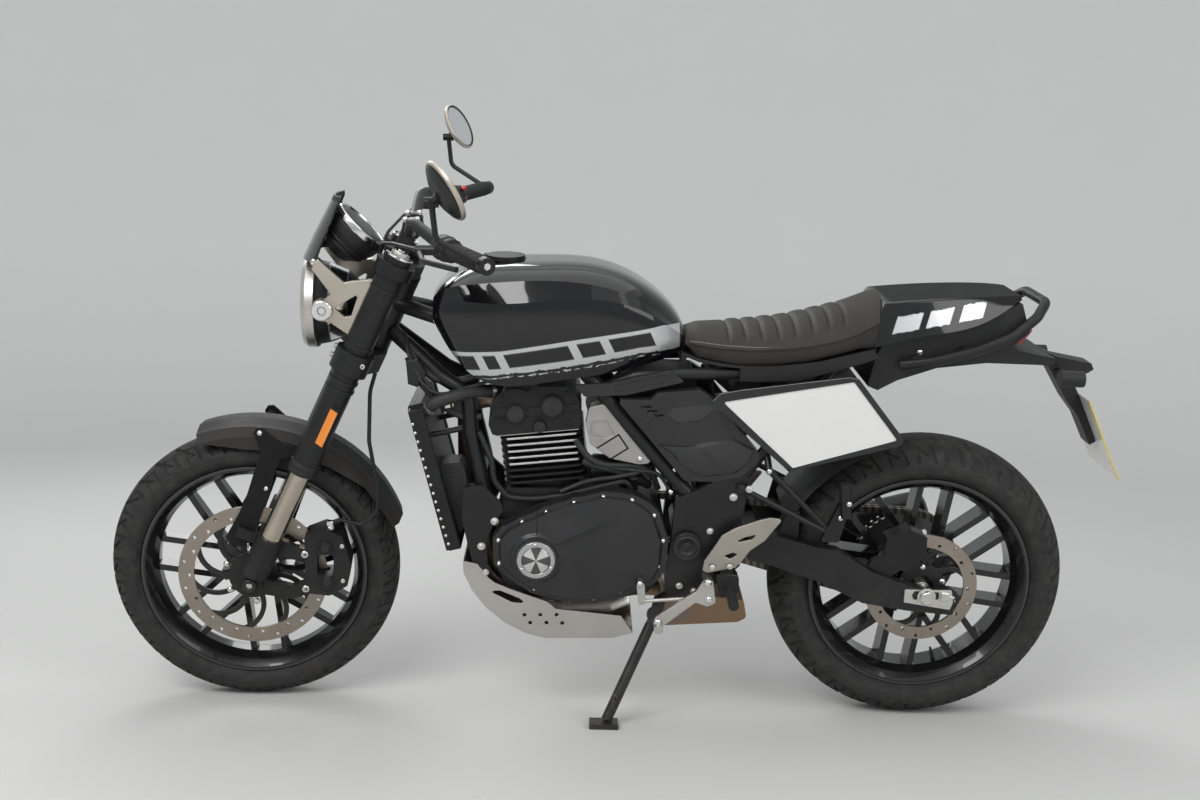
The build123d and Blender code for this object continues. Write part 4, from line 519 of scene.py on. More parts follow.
def fenderPaint(kit):
    # near black on top and a lighter grey down each side, with road dust over it, thicker low down; its stays are
    # powder coated
    y = kit.inFrame(frontAxle)[1]
    colour = abs(y).step(fender["flank"], fender["blend"]).mix((0.007, 0.007, 0.0075), (0.034, 0.031, 0.030))
    shell = finish(colour, 0.42 + 0.16 * kit.noise(30.0, 5.0), height=kit.noise(700.0) * 0.04)
    return blended(abs(y).step(fender["shell"], 0.4), dusty(kit, shell, 500.0, 0.3), powderBlack(kit))


def tailPaint(kit):
    # the colour follows the ribs: bright red on their crests and dark red in their troughs, painted highlight and shade
    # on the ribbed lens
    ribs = kit.inFrame(bikeFrame)[1].wave(0.9)
    return finish(ribs.mix((0.20, 0.004, 0.004), (0.46, 0.012, 0.010)), 0.12, 0.0, 1.0, ribs * 0.4)


def rimPaint(axle):
    # a black cast rim whose bead flange is a little brighter
    def recipe(kit):
        x, y, z = kit.inFrame(axle)
        black = worn(kit, (0.0065, 0.0065, 0.0072), 0.25, (0.20, 0.12, 30.0, 5.0), (900.0, 0.02), 0.0, 0.5)
        flange = finish((0.10, 0.10, 0.102), 0.28, 0.6, height=black["height"])
        return blended(lengthOf(x, z).between(224.0, 229.0, 1.5) * 0.5, black, flange)
    return recipe


def discPaint(axle, carrier):
    # the drilled ring is brushed in circles; the carrier inside it is black
    def recipe(kit):
        x, y, z = kit.inFrame(axle)
        ring = spun(kit, axle, (0.34, 0.295, 0.25), 0.22, 1.6)
        return blended(lengthOf(x, z).step(carrier, 0.6), powderBlack(kit), ring)
    return recipe


def sprocketPaint(kit):
    return spun(kit, rearAxle, (0.30, 0.29, 0.28), 0.26, 1.2)


def chainPaint(kit):
    # the colour rises and falls once every link, lightest where the bumps stand highest: painted highlight and shade
    # over the links
    links = kit.inFrame(bikeFrame)[0].wave(2 * math.pi / chainPitch)
    return finish(links.mix((0.10, 0.09, 0.075), (0.30, 0.28, 0.25)), 0.38 + 0.2 * kit.noise(300.0), 1.0,
                  height=links * 0.5)


def lensPaint(kit):
    # clear glass with fine upright flutes
    return finish((0.9, 0.93, 0.95), 0.04, height=kit.inFrame(steerFrame)[1].wave(0.7) * 0.6)


def mirrorGlass(kit):
    return finish((0.78, 0.80, 0.82), 0.03 + 0.03 * kit.noise(20.0, 6.0), 1.0)


def crossed(x, z, rate):
    # two waves that cross at a slant
    return ((z + x) * rate).sine() * ((z - x) * rate).sine()


def hoseRubber(kit):
    x, y, z = kit.inFrame(bikeFrame)
    weave = crossed(x, z, 3.0)
    return finish(varied(kit, (0.014, 0.014, 0.015), 0.2), 0.45 + 0.1 * weave, height=weave * 0.25)


def skidPaint(kit):
    x, y, z = kit.inFrame(bikeFrame)
    drawn = kit.drawn(3.0, 0.6, x * 0.03, y * 1.2, z * 0.9)
    scuffs = kit.noise(60.0, 6.0, 0.8).step(0.66, 0.06) * (1.0 - z.step(215.0, 30.0))
    rough = 0.26 + 0.16 * drawn + 0.25 * scuffs
    return dusty(kit, finish(varied(kit, (0.54, 0.52, 0.49), 0.08), rough, 1.0, height=drawn * 0.08), 300.0, 0.30)


def hangerPaint(kit):
    # the heel guards are bare alloy, the footrests behind them black with ribs
    x, y, z = kit.inFrame(bikeFrame)
    heel = abs(y).between(*guard["plate"], 0.2) * z.step(guard["foot"], 2.0)
    ribbed = finish((0.014, 0.014, 0.015), 0.6, height=y.wave(0.8) * 1.5)
    rest = blended(abs(y).step(guard["rest"], 0.5), powderBlack(kit), ribbed)
    alloy = worn(kit, (0.44, 0.41, 0.36), 0.10, (0.34, 0.14, 40.0, 6.0), (900.0, 0.05), 1.0)
    return blended(heel, rest, alloy)


def throttlePaint(kit):
    # bare cast alloy with a black seam round the window in its upper half
    x, y, z = kit.inFrame(bikeFrame)
    alloy = worn(kit, (0.40, 0.39, 0.375), 0.12, (0.36, 0.16, 30.0, 6.0), (700.0, 0.06), 1.0)
    (x0, z0), (cosine, sine), (wide, high) = window["at"], window["turn"], window["half"]
    across = (x - x0) * cosine - (z - z0) * sine
    up = (x - x0) * sine + (z - z0) * cosine
    inside, outer = (abs(across).step(wide + grow, 0.6).most(abs(up).step(high + grow, 0.6))
                     for grow in (0, window["seam"]))
    seam = finish((0.006, 0.006, 0.006), 0.7, height=-0.6)
    return blended(inside * (1.0 - outer), dusty(kit, alloy, 700.0, 0.2), seam)


def panelPaint(kit):
    # satin moulded panels: smooth on their raised middle, grained round it
    y = kit.inFrame(bikeFrame)[1]
    satin = worn(kit, (0.016, 0.016, 0.017), 0.2, (0.26, 0.10, 22.0, 5.0), (600.0, 0.02), 0.0, 0.25)
    return blended(abs(y).step(panelFace, 1.0), mouldedBlack(kit), satin)


def shockPaint(kit):
    # a black body with a bright rod below the spring seat
    x, y, z = kit.inFrame(bikeFrame)
    along = (x - spring["foot"][0]) * spring["along"][0] + (z - spring["foot"][1]) * spring["along"][1]
    return blended(along.between(*spring["rod"], 1.0), powderBlack(kit), polished(kit))


# Each finish, the CAD nodes that wear it, how far its edges are rounded in millimetres, and fixed values.
glossy = {"Coat Roughness": 0.03}
skins = {
    "tankPaint": (tankPaint, "fuel_tank", 0, {**glossy, "Specular IOR Level": 0.05}),
    "cowlPaint": (cowlPaint, "seat_cowl", 1.6, {**glossy, "Specular IOR Level": 0.15}),
    "powderBlack": (powderBlack, "main_frame subframe swingarm yokes handlebar pillion_hangers side_stand grab_rail "
                                 "muffler"),
    "hangerPaint": (hangerPaint, "peg_hangers", 3.0),
    "throttleAlloy": (throttlePaint, "injector_covers", 3.0),
    "panelBlack": (panelPaint, "side_panels"),
    "castBlack": (castBlack, "engine_case engine_covers front_caliper rear_caliper fuel_cap"),
    "mouldedBlack": (mouldedBlack, "seat_base tail_fairing plate_hanger airbox hugger"),
    "lampPaint": (lampPaint, "headlight"),
    "screenPaint": (screenPaint, "flyscreen", 1.6, {"Coat Roughness": 0.05}),
    "lowersPaint": (lowersPaint, "fork_lowers", 1.0),
    "uppersPaint": (uppersPaint, "fork_uppers"),
    "cylinderPaint": (cylinderPaint, "cylinder"),
    "controlsPaint": (controlsPaint, "bar_controls"),
    "mirrorShell": (powderBlack, "mirrors"),
    "instrumentShell": (mouldedBlack, "instrument"),
    "radiatorPaint": (radiatorPaint, "radiator"),
    "fenderPaint": (fenderPaint, "front_fender", 0, {"Specular IOR Level": 0.12}),
    "tailLens": (tailPaint, "tail_light", 1.6, {"Coat Roughness": 0.02}),
    "boardPaint": (boardPaint, "number_boards", 2.0),
    "platePaint": (platePaint, "licence_plate"),
    "frontRimPaint": (rimPaint(frontAxle), "front_rim"),
    "rearRimPaint": (rimPaint(rearAxle), "rear_rim"),
    "frontDiscPaint": (discPaint(frontAxle, 118.4), "front_disc", 0.4),
    "rearDiscPaint": (discPaint(rearAxle, 87.4), "rear_disc", 0.4),
    "sprocketPaint": (sprocketPaint, "rear_sprocket", 0.4),
    "chainPaint": (chainPaint, "chain", 0),
    "bracketAlloy": (anodised, "headlight_brackets", 3.0),
    "brightAlloy": (brightAlloy, "foot_levers", 2.5),
    "shockPaint": (shockPaint, "rear_shock"),
    "skidPaint": (skidPaint, "skid_plate"),
    "axleZinc": (zinc, "rear_axle front_axle swingarm_pivot"),
    "headerBronze": (headerBronze, "exhaust_header"),
    "hoseRubber": (hoseRubber, "brake_hose control_lines breather_hose", 0),
    "tyreRubber": (tyreRubber, "front_tyre rear_tyre", 0),
    "softRubber": (softRubber, "grips", 0),
    "seatVinyl": (seatVinyl, "seat", 0),
    "lampGlass": (lensPaint, "headlight_lens", 0, {"Transmission Weight": 1.0, "IOR": 1.45}),
    "mirrorGlass": (mirrorGlass, "mirror_glasses", 0),
}


def smooth(mesh, degrees):
    mesh.polygons.foreach_set("use_smooth", np.ones(len(mesh.polygons), bool))
    mesh.set_sharp_from_angle(angle=math.radians(degrees))


plainEdge = 1.6  # how far edges look rounded where a row says nothing, in millimetres
skinOf = {}
for name, (recipe, wearers, *rest) in skins.items():
    edge = rest[0] if rest else plainEdge
    fixed = rest[1] if len(rest) > 1 else {}
    skinOf[name] = paint(name, recipe, {"Specular IOR Level": 0.32, **fixed}, edge)
    for wearer in wearers.split():
        mesh = nodes[wearer].data
        mesh.materials.clear()
        mesh.materials.append(skinOf[name])
        smooth(mesh, 28)
print("stage: nodes painted, unpainted:", set(nodes) - set(" ".join(row[1] for row in skins.values()).split()))


def added(name, data):
    made = bpy.data.objects.new(name, data)
    bpy.context.scene.collection.objects.link(made)
    return made


def plainMesh(name, points, faces):
    # faces is a list of (n, k) arrays of corners
    mesh = bpy.data.meshes.new(name)
    mesh.vertices.add(len(points))
    mesh.vertices.foreach_set("co", points.astype(np.float32).ravel())
    corners = np.concatenate([f.ravel() for f in faces]).astype(np.int32)
    counts = np.concatenate([np.full(len(f), f.shape[1]) for f in faces])
    mesh.loops.add(len(corners))
    mesh.loops.foreach_set("vertex_index", corners)
    mesh.polygons.add(len(counts))
    mesh.polygons.foreach_set("loop_start", np.concatenate([[0], np.cumsum(counts)[:-1]]).astype(np.int32))
    mesh.update(calc_edges=True)
    return mesh


def meshPiece(name, shape, body, skin, place, smoothAngle=35, replaced=(), slot=None):
    # one closed object at the origin, from points in millimetres of a frame
    mesh = plainMesh(name, put(shape[0], place), shape[1])
    work = bmesh.new()
    work.from_mesh(mesh)
    bmesh.ops.remove_doubles(work, verts=work.verts, dist=2e-6)
    bmesh.ops.dissolve_degenerate(work, edges=work.edges, dist=1e-6)
    bmesh.ops.recalc_face_normals(work, faces=work.faces)
    work.to_mesh(mesh)
    work.free()
    smooth(mesh, smoothAngle)
    mesh.materials.append(skin)
    made = added(name, mesh)
    if replaced:
        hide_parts(*replaced)
    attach(made, body)
    return made


def onBike(name, shape, skin, **more):
    return meshPiece(name, shape, "chassis", skin, bikeFrame, **more)


def onBars(name, shape, skin, place=steerFrame, **more):
    return meshPiece(name, shape, "steering", skin, place, **more)


def gridFaces(rows, columns, closeRows=False, closeColumns=False):
    # quads of a grid of points stored row by row
    r = np.arange(rows if closeRows else rows - 1)
    c = np.arange(columns if closeColumns else columns - 1)
    r, c = np.meshgrid(r, c, indexing="ij")
    r2, c2 = (r + 1) % rows, (c + 1) % columns
    return np.stack([r * columns + c, r * columns + c2, r2 * columns + c2, r2 * columns + c], -1).reshape(-1, 4)


def gather(parts):
    # several (points, faces) joined into one
    points, faces, count = [], [], 0
    for p, f in parts:
        points.append(p)
        faces += [g + count for g in f]
        count += len(p)
    return np.concatenate(points), faces


def lathe(profile, steps, turn=0.0):
    # a profile of (radius, height) turned about Z: every ring is the profile's radius at an equal angle
    profile = np.asarray(profile, float)
    a = np.linspace(0, 2 * math.pi, steps, endpoint=False) + turn
    x = np.cos(a)[:, None] * profile[:, 0]
    y = np.sin(a)[:, None] * profile[:, 0]
    z = np.broadcast_to(profile[:, 1], x.shape)
    return np.stack([x, y, z], -1).reshape(-1, 3), [gridFaces(steps, len(profile), closeRows=True)]


def basis(axis):
    # three unit vectors with the last along axis
    z = unit(axis)
    x = unit(np.cross(z, (0.31, 0.17, 0.93) if abs(z[2]) < 0.9 else (1, 0, 0)))
    return np.stack([x, np.cross(z, x), z])


def aimed(shape, at, axis=(0, 1, 0)):
    # a shape drawn along Z, moved to a point and turned to an axis
    points, faces = shape
    return points @ basis(axis) + np.asarray(at, float), faces


def repeated(shape, places, axes, scales=None):
    # one shape at many places in one go; scales is (n, 3)
    points, faces = shape
    places = np.asarray(places, float).reshape(-1, 3)
    axes = np.broadcast_to(np.asarray(axes, float), places.shape)
    turns = np.stack([basis(a) for a in axes])
    scaled = points[None] * (1.0 if scales is None else np.asarray(scales, float)[:, None, :])
    moved = np.einsum("nij,njk->nik", scaled, turns) + places[:, None, :]
    offsets = np.arange(len(places)) * len(points)
    return moved.reshape(-1, 3), [(f[None] + offsets[:, None, None]).reshape(-1, f.shape[1]) for f in faces]


def catmull(a, b, c, d, u):
    # half of 2b + (c - a)u + (2a - 5b + 4c - d)u2 + (3b - a - 3c + d)u3
    return 0.5 * (2 * b + (c - a) * u + (2 * a - 5 * b + 4 * c - d) * u ** 2 + (3 * b - a - 3 * c + d) * u ** 3)


def smoothPath(points, steps):
    # a Catmull-Rom curve through points, at even shares of its length
    p = np.asarray(points, float)
    q = np.concatenate([[2 * p[0] - p[1]], p, [2 * p[-1] - p[-2]]])
    t = np.linspace(0, len(p) - 1, steps * 4)
    i = np.minimum(t.astype(int), len(p) - 2)
    curve = catmull(q[i], q[i + 1], q[i + 2], q[i + 3], (t - i)[:, None])
    run = np.concatenate([[0], np.cumsum(np.linalg.norm(np.diff(curve, axis=0), axis=1))])
    at = np.linspace(0, run[-1], steps)
    return np.stack([np.interp(at, run, curve[:, k]) for k in range(3)], -1)


def fan(count, middle, first):
    # triangles from a ring of points, starting at first, to a middle point
    ring = np.arange(count)
    return np.stack([ring + first, np.roll(ring, -1) + first, np.full(count, middle)], -1)


def tube(path, section, closed=False):
    # a closed section of (side, up) swept along a path; section may be (rows, k, 2) to vary
    path = np.asarray(path, float)
    along = np.gradient(path, axis=0)
    along /= np.linalg.norm(along, axis=1)[:, None]
    side = np.cross(along, (0.02, 0.03, 1.0))
    side /= np.linalg.norm(side, axis=1)[:, None]
    up = np.cross(side, along)
    section = np.asarray(section, float)
    if section.ndim == 2:
        section = np.broadcast_to(section, (len(path), *section.shape))
    points = path[:, None] + section[..., 0:1] * side[:, None] + section[..., 1:2] * up[:, None]
    faces = [gridFaces(len(path), section.shape[1], closeRows=closed, closeColumns=True)]
    points = points.reshape(-1, 3)
    if not closed:  # the ends draw in to their middles
        k, n = section.shape[1], len(points)
        faces += [fan(k, n, 0), fan(k, n + 1, n - k)[:, [1, 0, 2]]]
        points = np.concatenate([points, path[[0, -1]]])
    return points, faces


def circle(radius, steps=12):
    # points (R cos a, R sin a) at equal angles
    a = np.linspace(0, 2 * math.pi, steps, endpoint=False)
    return np.stack([np.cos(a), np.sin(a)], -1) * radius


def hexed(profile, hexRows):
    # a lathe of twelve sides whose chosen rows are hexagons: at mid-side the radius is cos 30 of a corner's
    points, faces = lathe(profile, 12)
    rings = points.reshape(12, len(profile), 3)
    for row in hexRows:
        rings[1::2, row, :2] *= math.cos(math.radians(30))
    return rings.reshape(-1, 3), faces


# Fasteners of unit radius and unit height: a socket head and a flanged hexagon.
socketHead = hexed([(0, 0.35), (0.5, 0.35), (0.5, 0.96), (0.86, 1.0), (1.0, 0.86), (1.0, -0.2), (0, -0.2)], (1, 2))
hexHead = hexed([(0, 0.92), (0.50, 1.0), (0.68, 0.92), (0.70, 0.30), (1.0, 0.22), (1.0, -0.1), (0, -0.1)], (2, 3))
domeHead = lathe([(0, 1.0), (0.45, 0.9), (0.8, 0.6), (1.0, 0.1), (1.0, -0.2), (0, -0.2)], 10)


def bolts(name, kind, rows, skin, body="chassis", place=bikeFrame, both=False):
    # rows of (x, y, z, radius, height) that face left, or with an axis after the place; both adds the right side
    rows = np.array([(*r[:3], 0, 1, 0, *r[3:]) if len(r) == 5 else r for r in rows], float)
    if both:
        rows = np.concatenate([rows, rows * (1, -1, 1, 1, -1, 1, 1, 1)])
    scales = np.stack([rows[:, 6], rows[:, 6], rows[:, 7]], -1)
    return meshPiece(name, repeated(kind, rows[:, :3], rows[:, 3:6], scales), body, skin, place)


def slab(outline, yFrom, yTo, bevel=1.5):
    # a side-view outline between two distances from the centre, with a small bevel on its far edge
    p = np.asarray(outline, float)
    middle = p.mean(0)
    inner = middle + (p - middle) * (1 - bevel / np.linalg.norm(p - middle, axis=1)[:, None])
    sign = 1 if yTo > yFrom else -1
    rings = [(p, yFrom), (p, yTo - sign * bevel * 0.7), (inner, yTo)]
    points = np.concatenate([np.stack([r[:, 0], np.full(len(r), y), r[:, 1]], -1) for r, y in rings])
    k = len(p)
    faces = [gridFaces(3, k, closeColumns=True), fan(k, 3 * k, 0)[:, [1, 0, 2]], fan(k, 3 * k + 1, 2 * k)]
    points = np.concatenate([points, [[middle[0], yFrom, middle[1]], [middle[0], yTo, middle[1]]]])
    return points, faces


def mirrorY(shape):
    # y changes sign, and each face runs the other way
    points, faces = shape
    return points * (1, -1, 1), [f[:, ::-1] for f in faces]


def paired(shape):
    return gather([shape, mirrorY(shape)])


print("stage: shape functions ready")

# The seat: domed sections from the tank to the tail, with sewn channels across its top.
seat = {
    "x": (508, 480, 430, 370, 300, 250, 198, 160, 124), "half": (66, 86, 105, 117, 122, 122, 121, 118, 114),
    "seam": (804, 806, 805, 806, 812, 819, 831, 845, 868), "crown": (818, 827, 829, 834, 843, 856, 870, 884, 902),
    "bottomX": (508, 482, 405, 328, 251, 150), "bottom": (800, 778, 772, 776, 786, 813),
    "rearZ": (780, 813, 880, 905), "rear": (158, 150.5, 139.5, 126.5),
    "ribs": (418, 384, 350, 316, 282, 248, 216, 186), "ribDeep": 3.4, "ribWide": 4.2, "rows": 260, "across": 84,
    "stitched": (150, 500), "stitch": 6.5,
}


def shrunk(ring, steps):
    # copies of a ring drawn in to its middle by a share, and moved along x
    middle = ring.mean(0)
    return np.stack([middle + (ring - middle) * share + (move, 0, 0) for share, move in steps])


def seatShape():
    # each section goes up the left side to the seam, over a dome (height falls as the power 2.4 of the
    # distance from the middle), and down the right; channels are dips of a bell curve along x
    s = seat
    front, back = s["x"][0], s["x"][-1]
    x = np.linspace(front, back, s["rows"])
    order = np.argsort(s["x"])
    value = {k: np.interp(x, np.array(s["x"])[order], np.array(s[k])[order]) for k in ("half", "seam", "crown")}
    width = 9
    kernel = np.hanning(width * 2 + 1)
    kernel /= kernel.sum()
    for k in value:
        value[k] = np.convolve(np.pad(value[k], width, mode="edge"), kernel, "valid")
    bottom = np.interp(x, s["bottomX"][::-1], s["bottom"][::-1])
    half, seam, crown = (value[k][:, None] for k in ("half", "seam", "crown"))
    t = np.linspace(-1, 1, s["across"])[None]
    bend = np.sign(t) * (1 - (1 - abs(t)) ** 1.15)
    dome = seam + (crown - seam) * (1 - abs(bend) ** 2.4)
    padding = 2.2 * np.cos(bend * math.pi / 2) ** 0.5
    ribs = np.zeros_like(x)
    puff = np.zeros_like(x)
    for at in s["ribs"]:
        ribs += np.exp(-((x - at) / s["ribWide"]) ** 2)
    for a, b in zip(s["ribs"], s["ribs"][1:]):
        puff += np.where((x < a) & (x > b), np.sin(np.clip((x - b) / (a - b), 0, 1) * math.pi), 0)
    fade = 1 / (1 + np.exp((abs(bend) - 0.80) / 0.03))
    top = dome + padding + fade * (puff[:, None] * 2.0 - ribs[:, None] * s["ribDeep"]) + 0.5
    topY = bend * half
    # the welt at the seam stands out a little, then the side falls to the pan
    sideShare = np.array([0.0, 0.03, 0.07, 0.12, 0.25, 0.5, 0.8, 1.0])[None]
    sideOut = np.array([0.0, 1.4, 1.6, 0.4, 0.9, 1.5, 0.9, -3.0])[None]
    seamZ, low = seam + 0.5, bottom[:, None]
    sideZ = seamZ + (low + 0.4 - seamZ) * sideShare
    rightY, leftY = half + sideOut, -(half + sideOut)
    under = np.linspace(1, -1, 9)[None, 1:-1]
    loopY = np.concatenate([topY, rightY, (half - 5) * under, leftY[:, ::-1]], 1)
    loopZ = np.concatenate([top, sideZ, np.broadcast_to(low + 0.4, (len(x), 7)), sideZ[:, ::-1]], 1)
    share = ((front - x) / (front - back))[:, None]
    rearX = np.interp(loopZ, s["rearZ"], s["rear"])
    loopX = front + share * (rearX - front)
    points = np.stack([loopX, loopY, loopZ], -1)
    nose = shrunk(points[0], ((0.0, 1.2), (0.5, 1.2), (0.93, 0.9)))
    tail = shrunk(points[-1], ((0.96, -0.4), (0.5, -0.4), (0.0, -0.4)))
    stack = np.concatenate([nose, points, tail])
    rows, columns = stack.shape[:2]
    return (stack.reshape(-1, 3), [gridFaces(rows, columns, closeColumns=True)]), (x, value)


seatBody, seatRun = seatShape()
seatPiece = onBike("seatPad", seatBody, skinOf["seatVinyl"], smoothAngle=70, replaced=("seat",), slot="seat_cover")


def stitchLine():
    # one short thread at even steps along each side seam, drawn as a small round bar
    x, value = seatRun
    keep = (x > seat["stitched"][0]) & (x < seat["stitched"][1])
    line = np.stack([x[keep], value["half"][keep] - 3.5, value["seam"][keep] + 3.2], -1)
    run = np.concatenate([[0], np.cumsum(np.linalg.norm(np.diff(line, axis=0), axis=1))])
    at = np.arange(2, run[-1] - 2, seat["stitch"])
    here = np.stack([np.interp(at, run, line[:, k]) for k in range(3)], -1)
    ahead = np.stack([np.interp(at + 1, run, line[:, k]) for k in range(3)], -1)
    bar = lathe([(0, -2.3), (0.42, -2.0), (0.55, 0), (0.42, 2.0), (0, 2.3)], 6)
    return paired(repeated(bar, here + (0, 0.9, 0.4), ahead - here))


def threadPale(kit):
    pale = kit.noise(900.0).mix((0.34, 0.32, 0.29), (0.50, 0.48, 0.44))
    return finish(pale, 0.75, height=kit.noise(2500.0) * 0.1)


onBike("seatStitches", stitchLine(), paint("threadPale", threadPale))

# The grips: a flanged rubber tube with rings, over each end of the bar.
barEnd = {"fork": 786.0, "half": 425.0, "gripLength": 122.0, "radius": 16.0, "bore": 11.6, "pitch": 5.2, "sides": 56}


def barPoints():
    # the bar's own corner points: its middle stands on the fork axis, and the rest is set out from it
    rake = math.radians(stance["rake"])
    x = stance["wheelbase"] - barEnd["fork"] * math.sin(rake)
    z = stance["frontRadius"] + barEnd["fork"] * math.cos(rake)
    corners = [(0, 0, 0), (0, 82, 0), (-8, 180, 38), (-72, 292, 12), (-139, barEnd["half"], 11)]
    return np.array([(x + dx, y, z + dz) for dx, y, dz in corners])


barLine = barPoints()
barOut = unit(barLine[4] - barLine[3])


def gripShape():
    # rings across the grip: the radius rises and falls with a rounded square wave along it
    n, sides = barEnd["gripLength"], barEnd["sides"]
    h = np.linspace(0, n, 150)
    wave = np.tanh(2.5 * np.sin(h * 2 * math.pi / barEnd["pitch"])) * 0.55
    ringed = np.where((h > 8) & (h < n - 6), wave, 0)
    radius = barEnd["radius"] - 0.4 + ringed + np.where(h < 5, 5.0, 0) - np.where(h > n - 4, 1.0, 0)
    profile = np.concatenate([[(barEnd["bore"], 0)], np.stack([radius, h], -1), [(barEnd["bore"], n)]])
    points, faces = lathe(profile, sides)
    ring = points.reshape(sides, len(profile), 3)
    a = np.linspace(0, 2 * math.pi, sides, endpoint=False)
    ring[..., :2] *= 1 - 0.018 * (np.cos(a * 9) > 0.55)[:, None, None]
    first = np.arange(sides) * len(profile)  # where each column of the grid starts
    after, last = np.roll(first, -1), len(profile) - 1
    return ring.reshape(-1, 3), faces + [np.stack([first, after, after + last, first + last], -1)]


gripOne = aimed(gripShape(), barLine[4] - barOut * barEnd["gripLength"], barOut)
onBars("gripSleeves", paired(gripOne), skinOf["softRubber"], replaced=("grips",), slot="grip_rubber")
print("stage: soft parts")

# The tyres: a closed section (tread arc, walls, beads and the inside) turned about the axle, with
# grooves cut where a repeated pattern of slanted and curved lines falls on the tread.
tyres = {
    "front": {"radius": stance["frontRadius"], "width": 112.0, "rimWidth": 92.0, "pitches": 34, "axle": frontAxle},
    "rear": {"radius": stance["rearRadius"], "width": 152.0, "rimWidth": 118.0, "pitches": 30, "axle": rearAxle},
    "rim": 228.0, "flange": 10.0, "wall": 9.0, "around": 752, "tread": 70, "grooveDeep": 4.2,
}


def arcThrough(a, b, c, n):
    # points of the circle through a, b and c: its middle is equally far from all three
    (ax, ay), (bx, by), (cx, cy) = a, b, c
    d = 2 * (ax * (by - cy) + bx * (cy - ay) + cx * (ay - by))
    ux = ((ax * ax + ay * ay) * (by - cy) + (bx * bx + by * by) * (cy - ay) + (cx * cx + cy * cy) * (ay - by)) / d
    uy = ((ax * ax + ay * ay) * (cx - bx) + (bx * bx + by * by) * (ax - cx) + (cx * cx + cy * cy) * (bx - ax)) / d
    r = math.hypot(ax - ux, ay - uy)
    turns = np.unwrap([math.atan2(p[1] - uy, p[0] - ux) for p in (a, b, c)])
    t = [np.linspace(turns[0], turns[1], n // 2, endpoint=False), np.linspace(turns[1], turns[2], n - n // 2)]
    t = np.concatenate(t)
    return np.stack([ux + r * np.cos(t), uy + r * np.sin(t)], -1)


def tyreSection(one):
    # arcs for the wall, the tread and the other wall, then the inside back to the bead; kinds marks the
    # rows that carry tread (2) and wall rings (1)
    radius, width = one["radius"], one["width"]
    seatY = one["rimWidth"] / 2 - 8.8
    lipY = one["rimWidth"] / 2 - 5.3
    shoulder = (radius - width * 0.25, width * 0.48)
    bulge = ((tyres["rim"] + shoulder[0]) / 2 + 3, width / 2)
    lip = (tyres["rim"] + 1, lipY)
    bead = (tyres["rim"] - tyres["flange"] + 0.3, seatY)
    wallUp = arcThrough(lip, bulge, shoulder, 26)
    tread = arcThrough(shoulder, (radius, 0), (shoulder[0], -shoulder[1]), tyres["tread"])
    wallDown = wallUp[::-1] * (1, -1)
    outer = np.concatenate([[bead], wallUp[:-1], tread, wallDown[1:], [(bead[0], -bead[1])]])
    w = tyres["wall"]
    insideHalf = [(bead[0] + 1, seatY - w), (tyres["rim"] + 4, lipY - w), (bulge[0], width / 2 - w),
                  (shoulder[0] - 4, shoulder[1] - w), (radius - w * 1.3, 0)]
    inside = insideHalf + [(r, -y) for r, y in insideHalf[:-1][::-1]]
    kinds = np.concatenate([[0], np.ones(25), np.full(tyres["tread"], 2), np.ones(25), [0], np.zeros(len(inside))])
    return np.concatenate([outer, inside[::-1]]), kinds


def grooves(one, angle, y):
    # depth 0 to 1: a wandering centre line, long curved cuts that lean back, and short shoulder cuts
    half = one["width"] * 0.48
    s = y / half
    phase = angle * one["pitches"] / (2 * math.pi)
    lean = phase - abs(s) * 1.15 + 0.25 * np.sin(s * 2.6)
    side = np.where(s > 0, 0.0, 0.5)

    def cut(along, wide):
        return abs((along + side) % 1.0 - 0.5) < wide

    longCut = cut(lean, 0.085) & (abs(s) > 0.16) & (abs(s) < 0.86)
    shortCut = cut(phase - abs(s) * 0.35 + 0.27, 0.06) & (abs(s) > 0.52)
    edgeCut = cut(phase - abs(s) * 0.2 + 0.68, 0.045) & (abs(s) > 0.76)
    ring = abs(abs(s) - 0.5 - 0.05 * np.sin(phase * 2 * math.pi)) < 0.022
    return np.clip(longCut * 1.0 + shortCut * 0.85 + edgeCut * 0.6 + ring * 0.7, 0, 1)


def tyrePiece(end):
    # the section turned about the axle: (r cos a, y, r sin a), lifted along its normal by rings less grooves
    one = tyres[end]
    section, kinds = tyreSection(one)
    n = tyres["around"]
    angle = np.linspace(0, 2 * math.pi, n, endpoint=False)[:, None]
    r, y = section[:, 0][None].repeat(n, 0).copy(), section[:, 1][None].repeat(n, 0)
    tangent = np.gradient(section, axis=0)
    normal = np.stack([tangent[:, 1], -tangent[:, 0]], -1)
    normal /= np.linalg.norm(normal, axis=1)[:, None]
    normal *= np.sign((normal * (section - (tyres["rim"] + 25, 0))).sum(1))[:, None]
    deep = grooves(one, angle, y) * (kinds == 2) * tyres["grooveDeep"]
    # the walls carry raised rings near the bead and the shoulder
    rings = ((240, 0.9, 1.6), (246, 0.7, 1.2), (one["radius"] - one["width"] * 0.25 - 5, 0.8, 1.5))
    ringed = (kinds == 1) * sum(high * np.exp(-((section[:, 0] - at) / wide) ** 2) for at, high, wide in rings)
    lift = ringed[None] - deep
    r = r + lift * normal[:, 0]
    y = y + lift * normal[:, 1]
    points = np.stack([r * np.cos(angle), y, r * np.sin(angle)], -1)
    shape = points.reshape(-1, 3), [gridFaces(n, len(section), closeRows=True, closeColumns=True)]
    meshPiece(end + "Tyre", shape, end + "_wheel", skinOf["tyreRubber"], one["axle"], 38, (end + "_tyre",),
              "tyre_rubber")


for end in ("front", "rear"):
    tyrePiece(end)
print("stage: tyres")
print("stage: tyres")

# Skins for the small parts.
boltZinc, boltBlack, boltBright = paint("boltZinc", zinc), paint("boltBlack", castBlack), paint("boltBright", polished)
rubberSkin = paint("rubberBlack", softRubber)
blackSkin, mouldSkin = skinOf["powderBlack"], skinOf["mouldedBlack"]

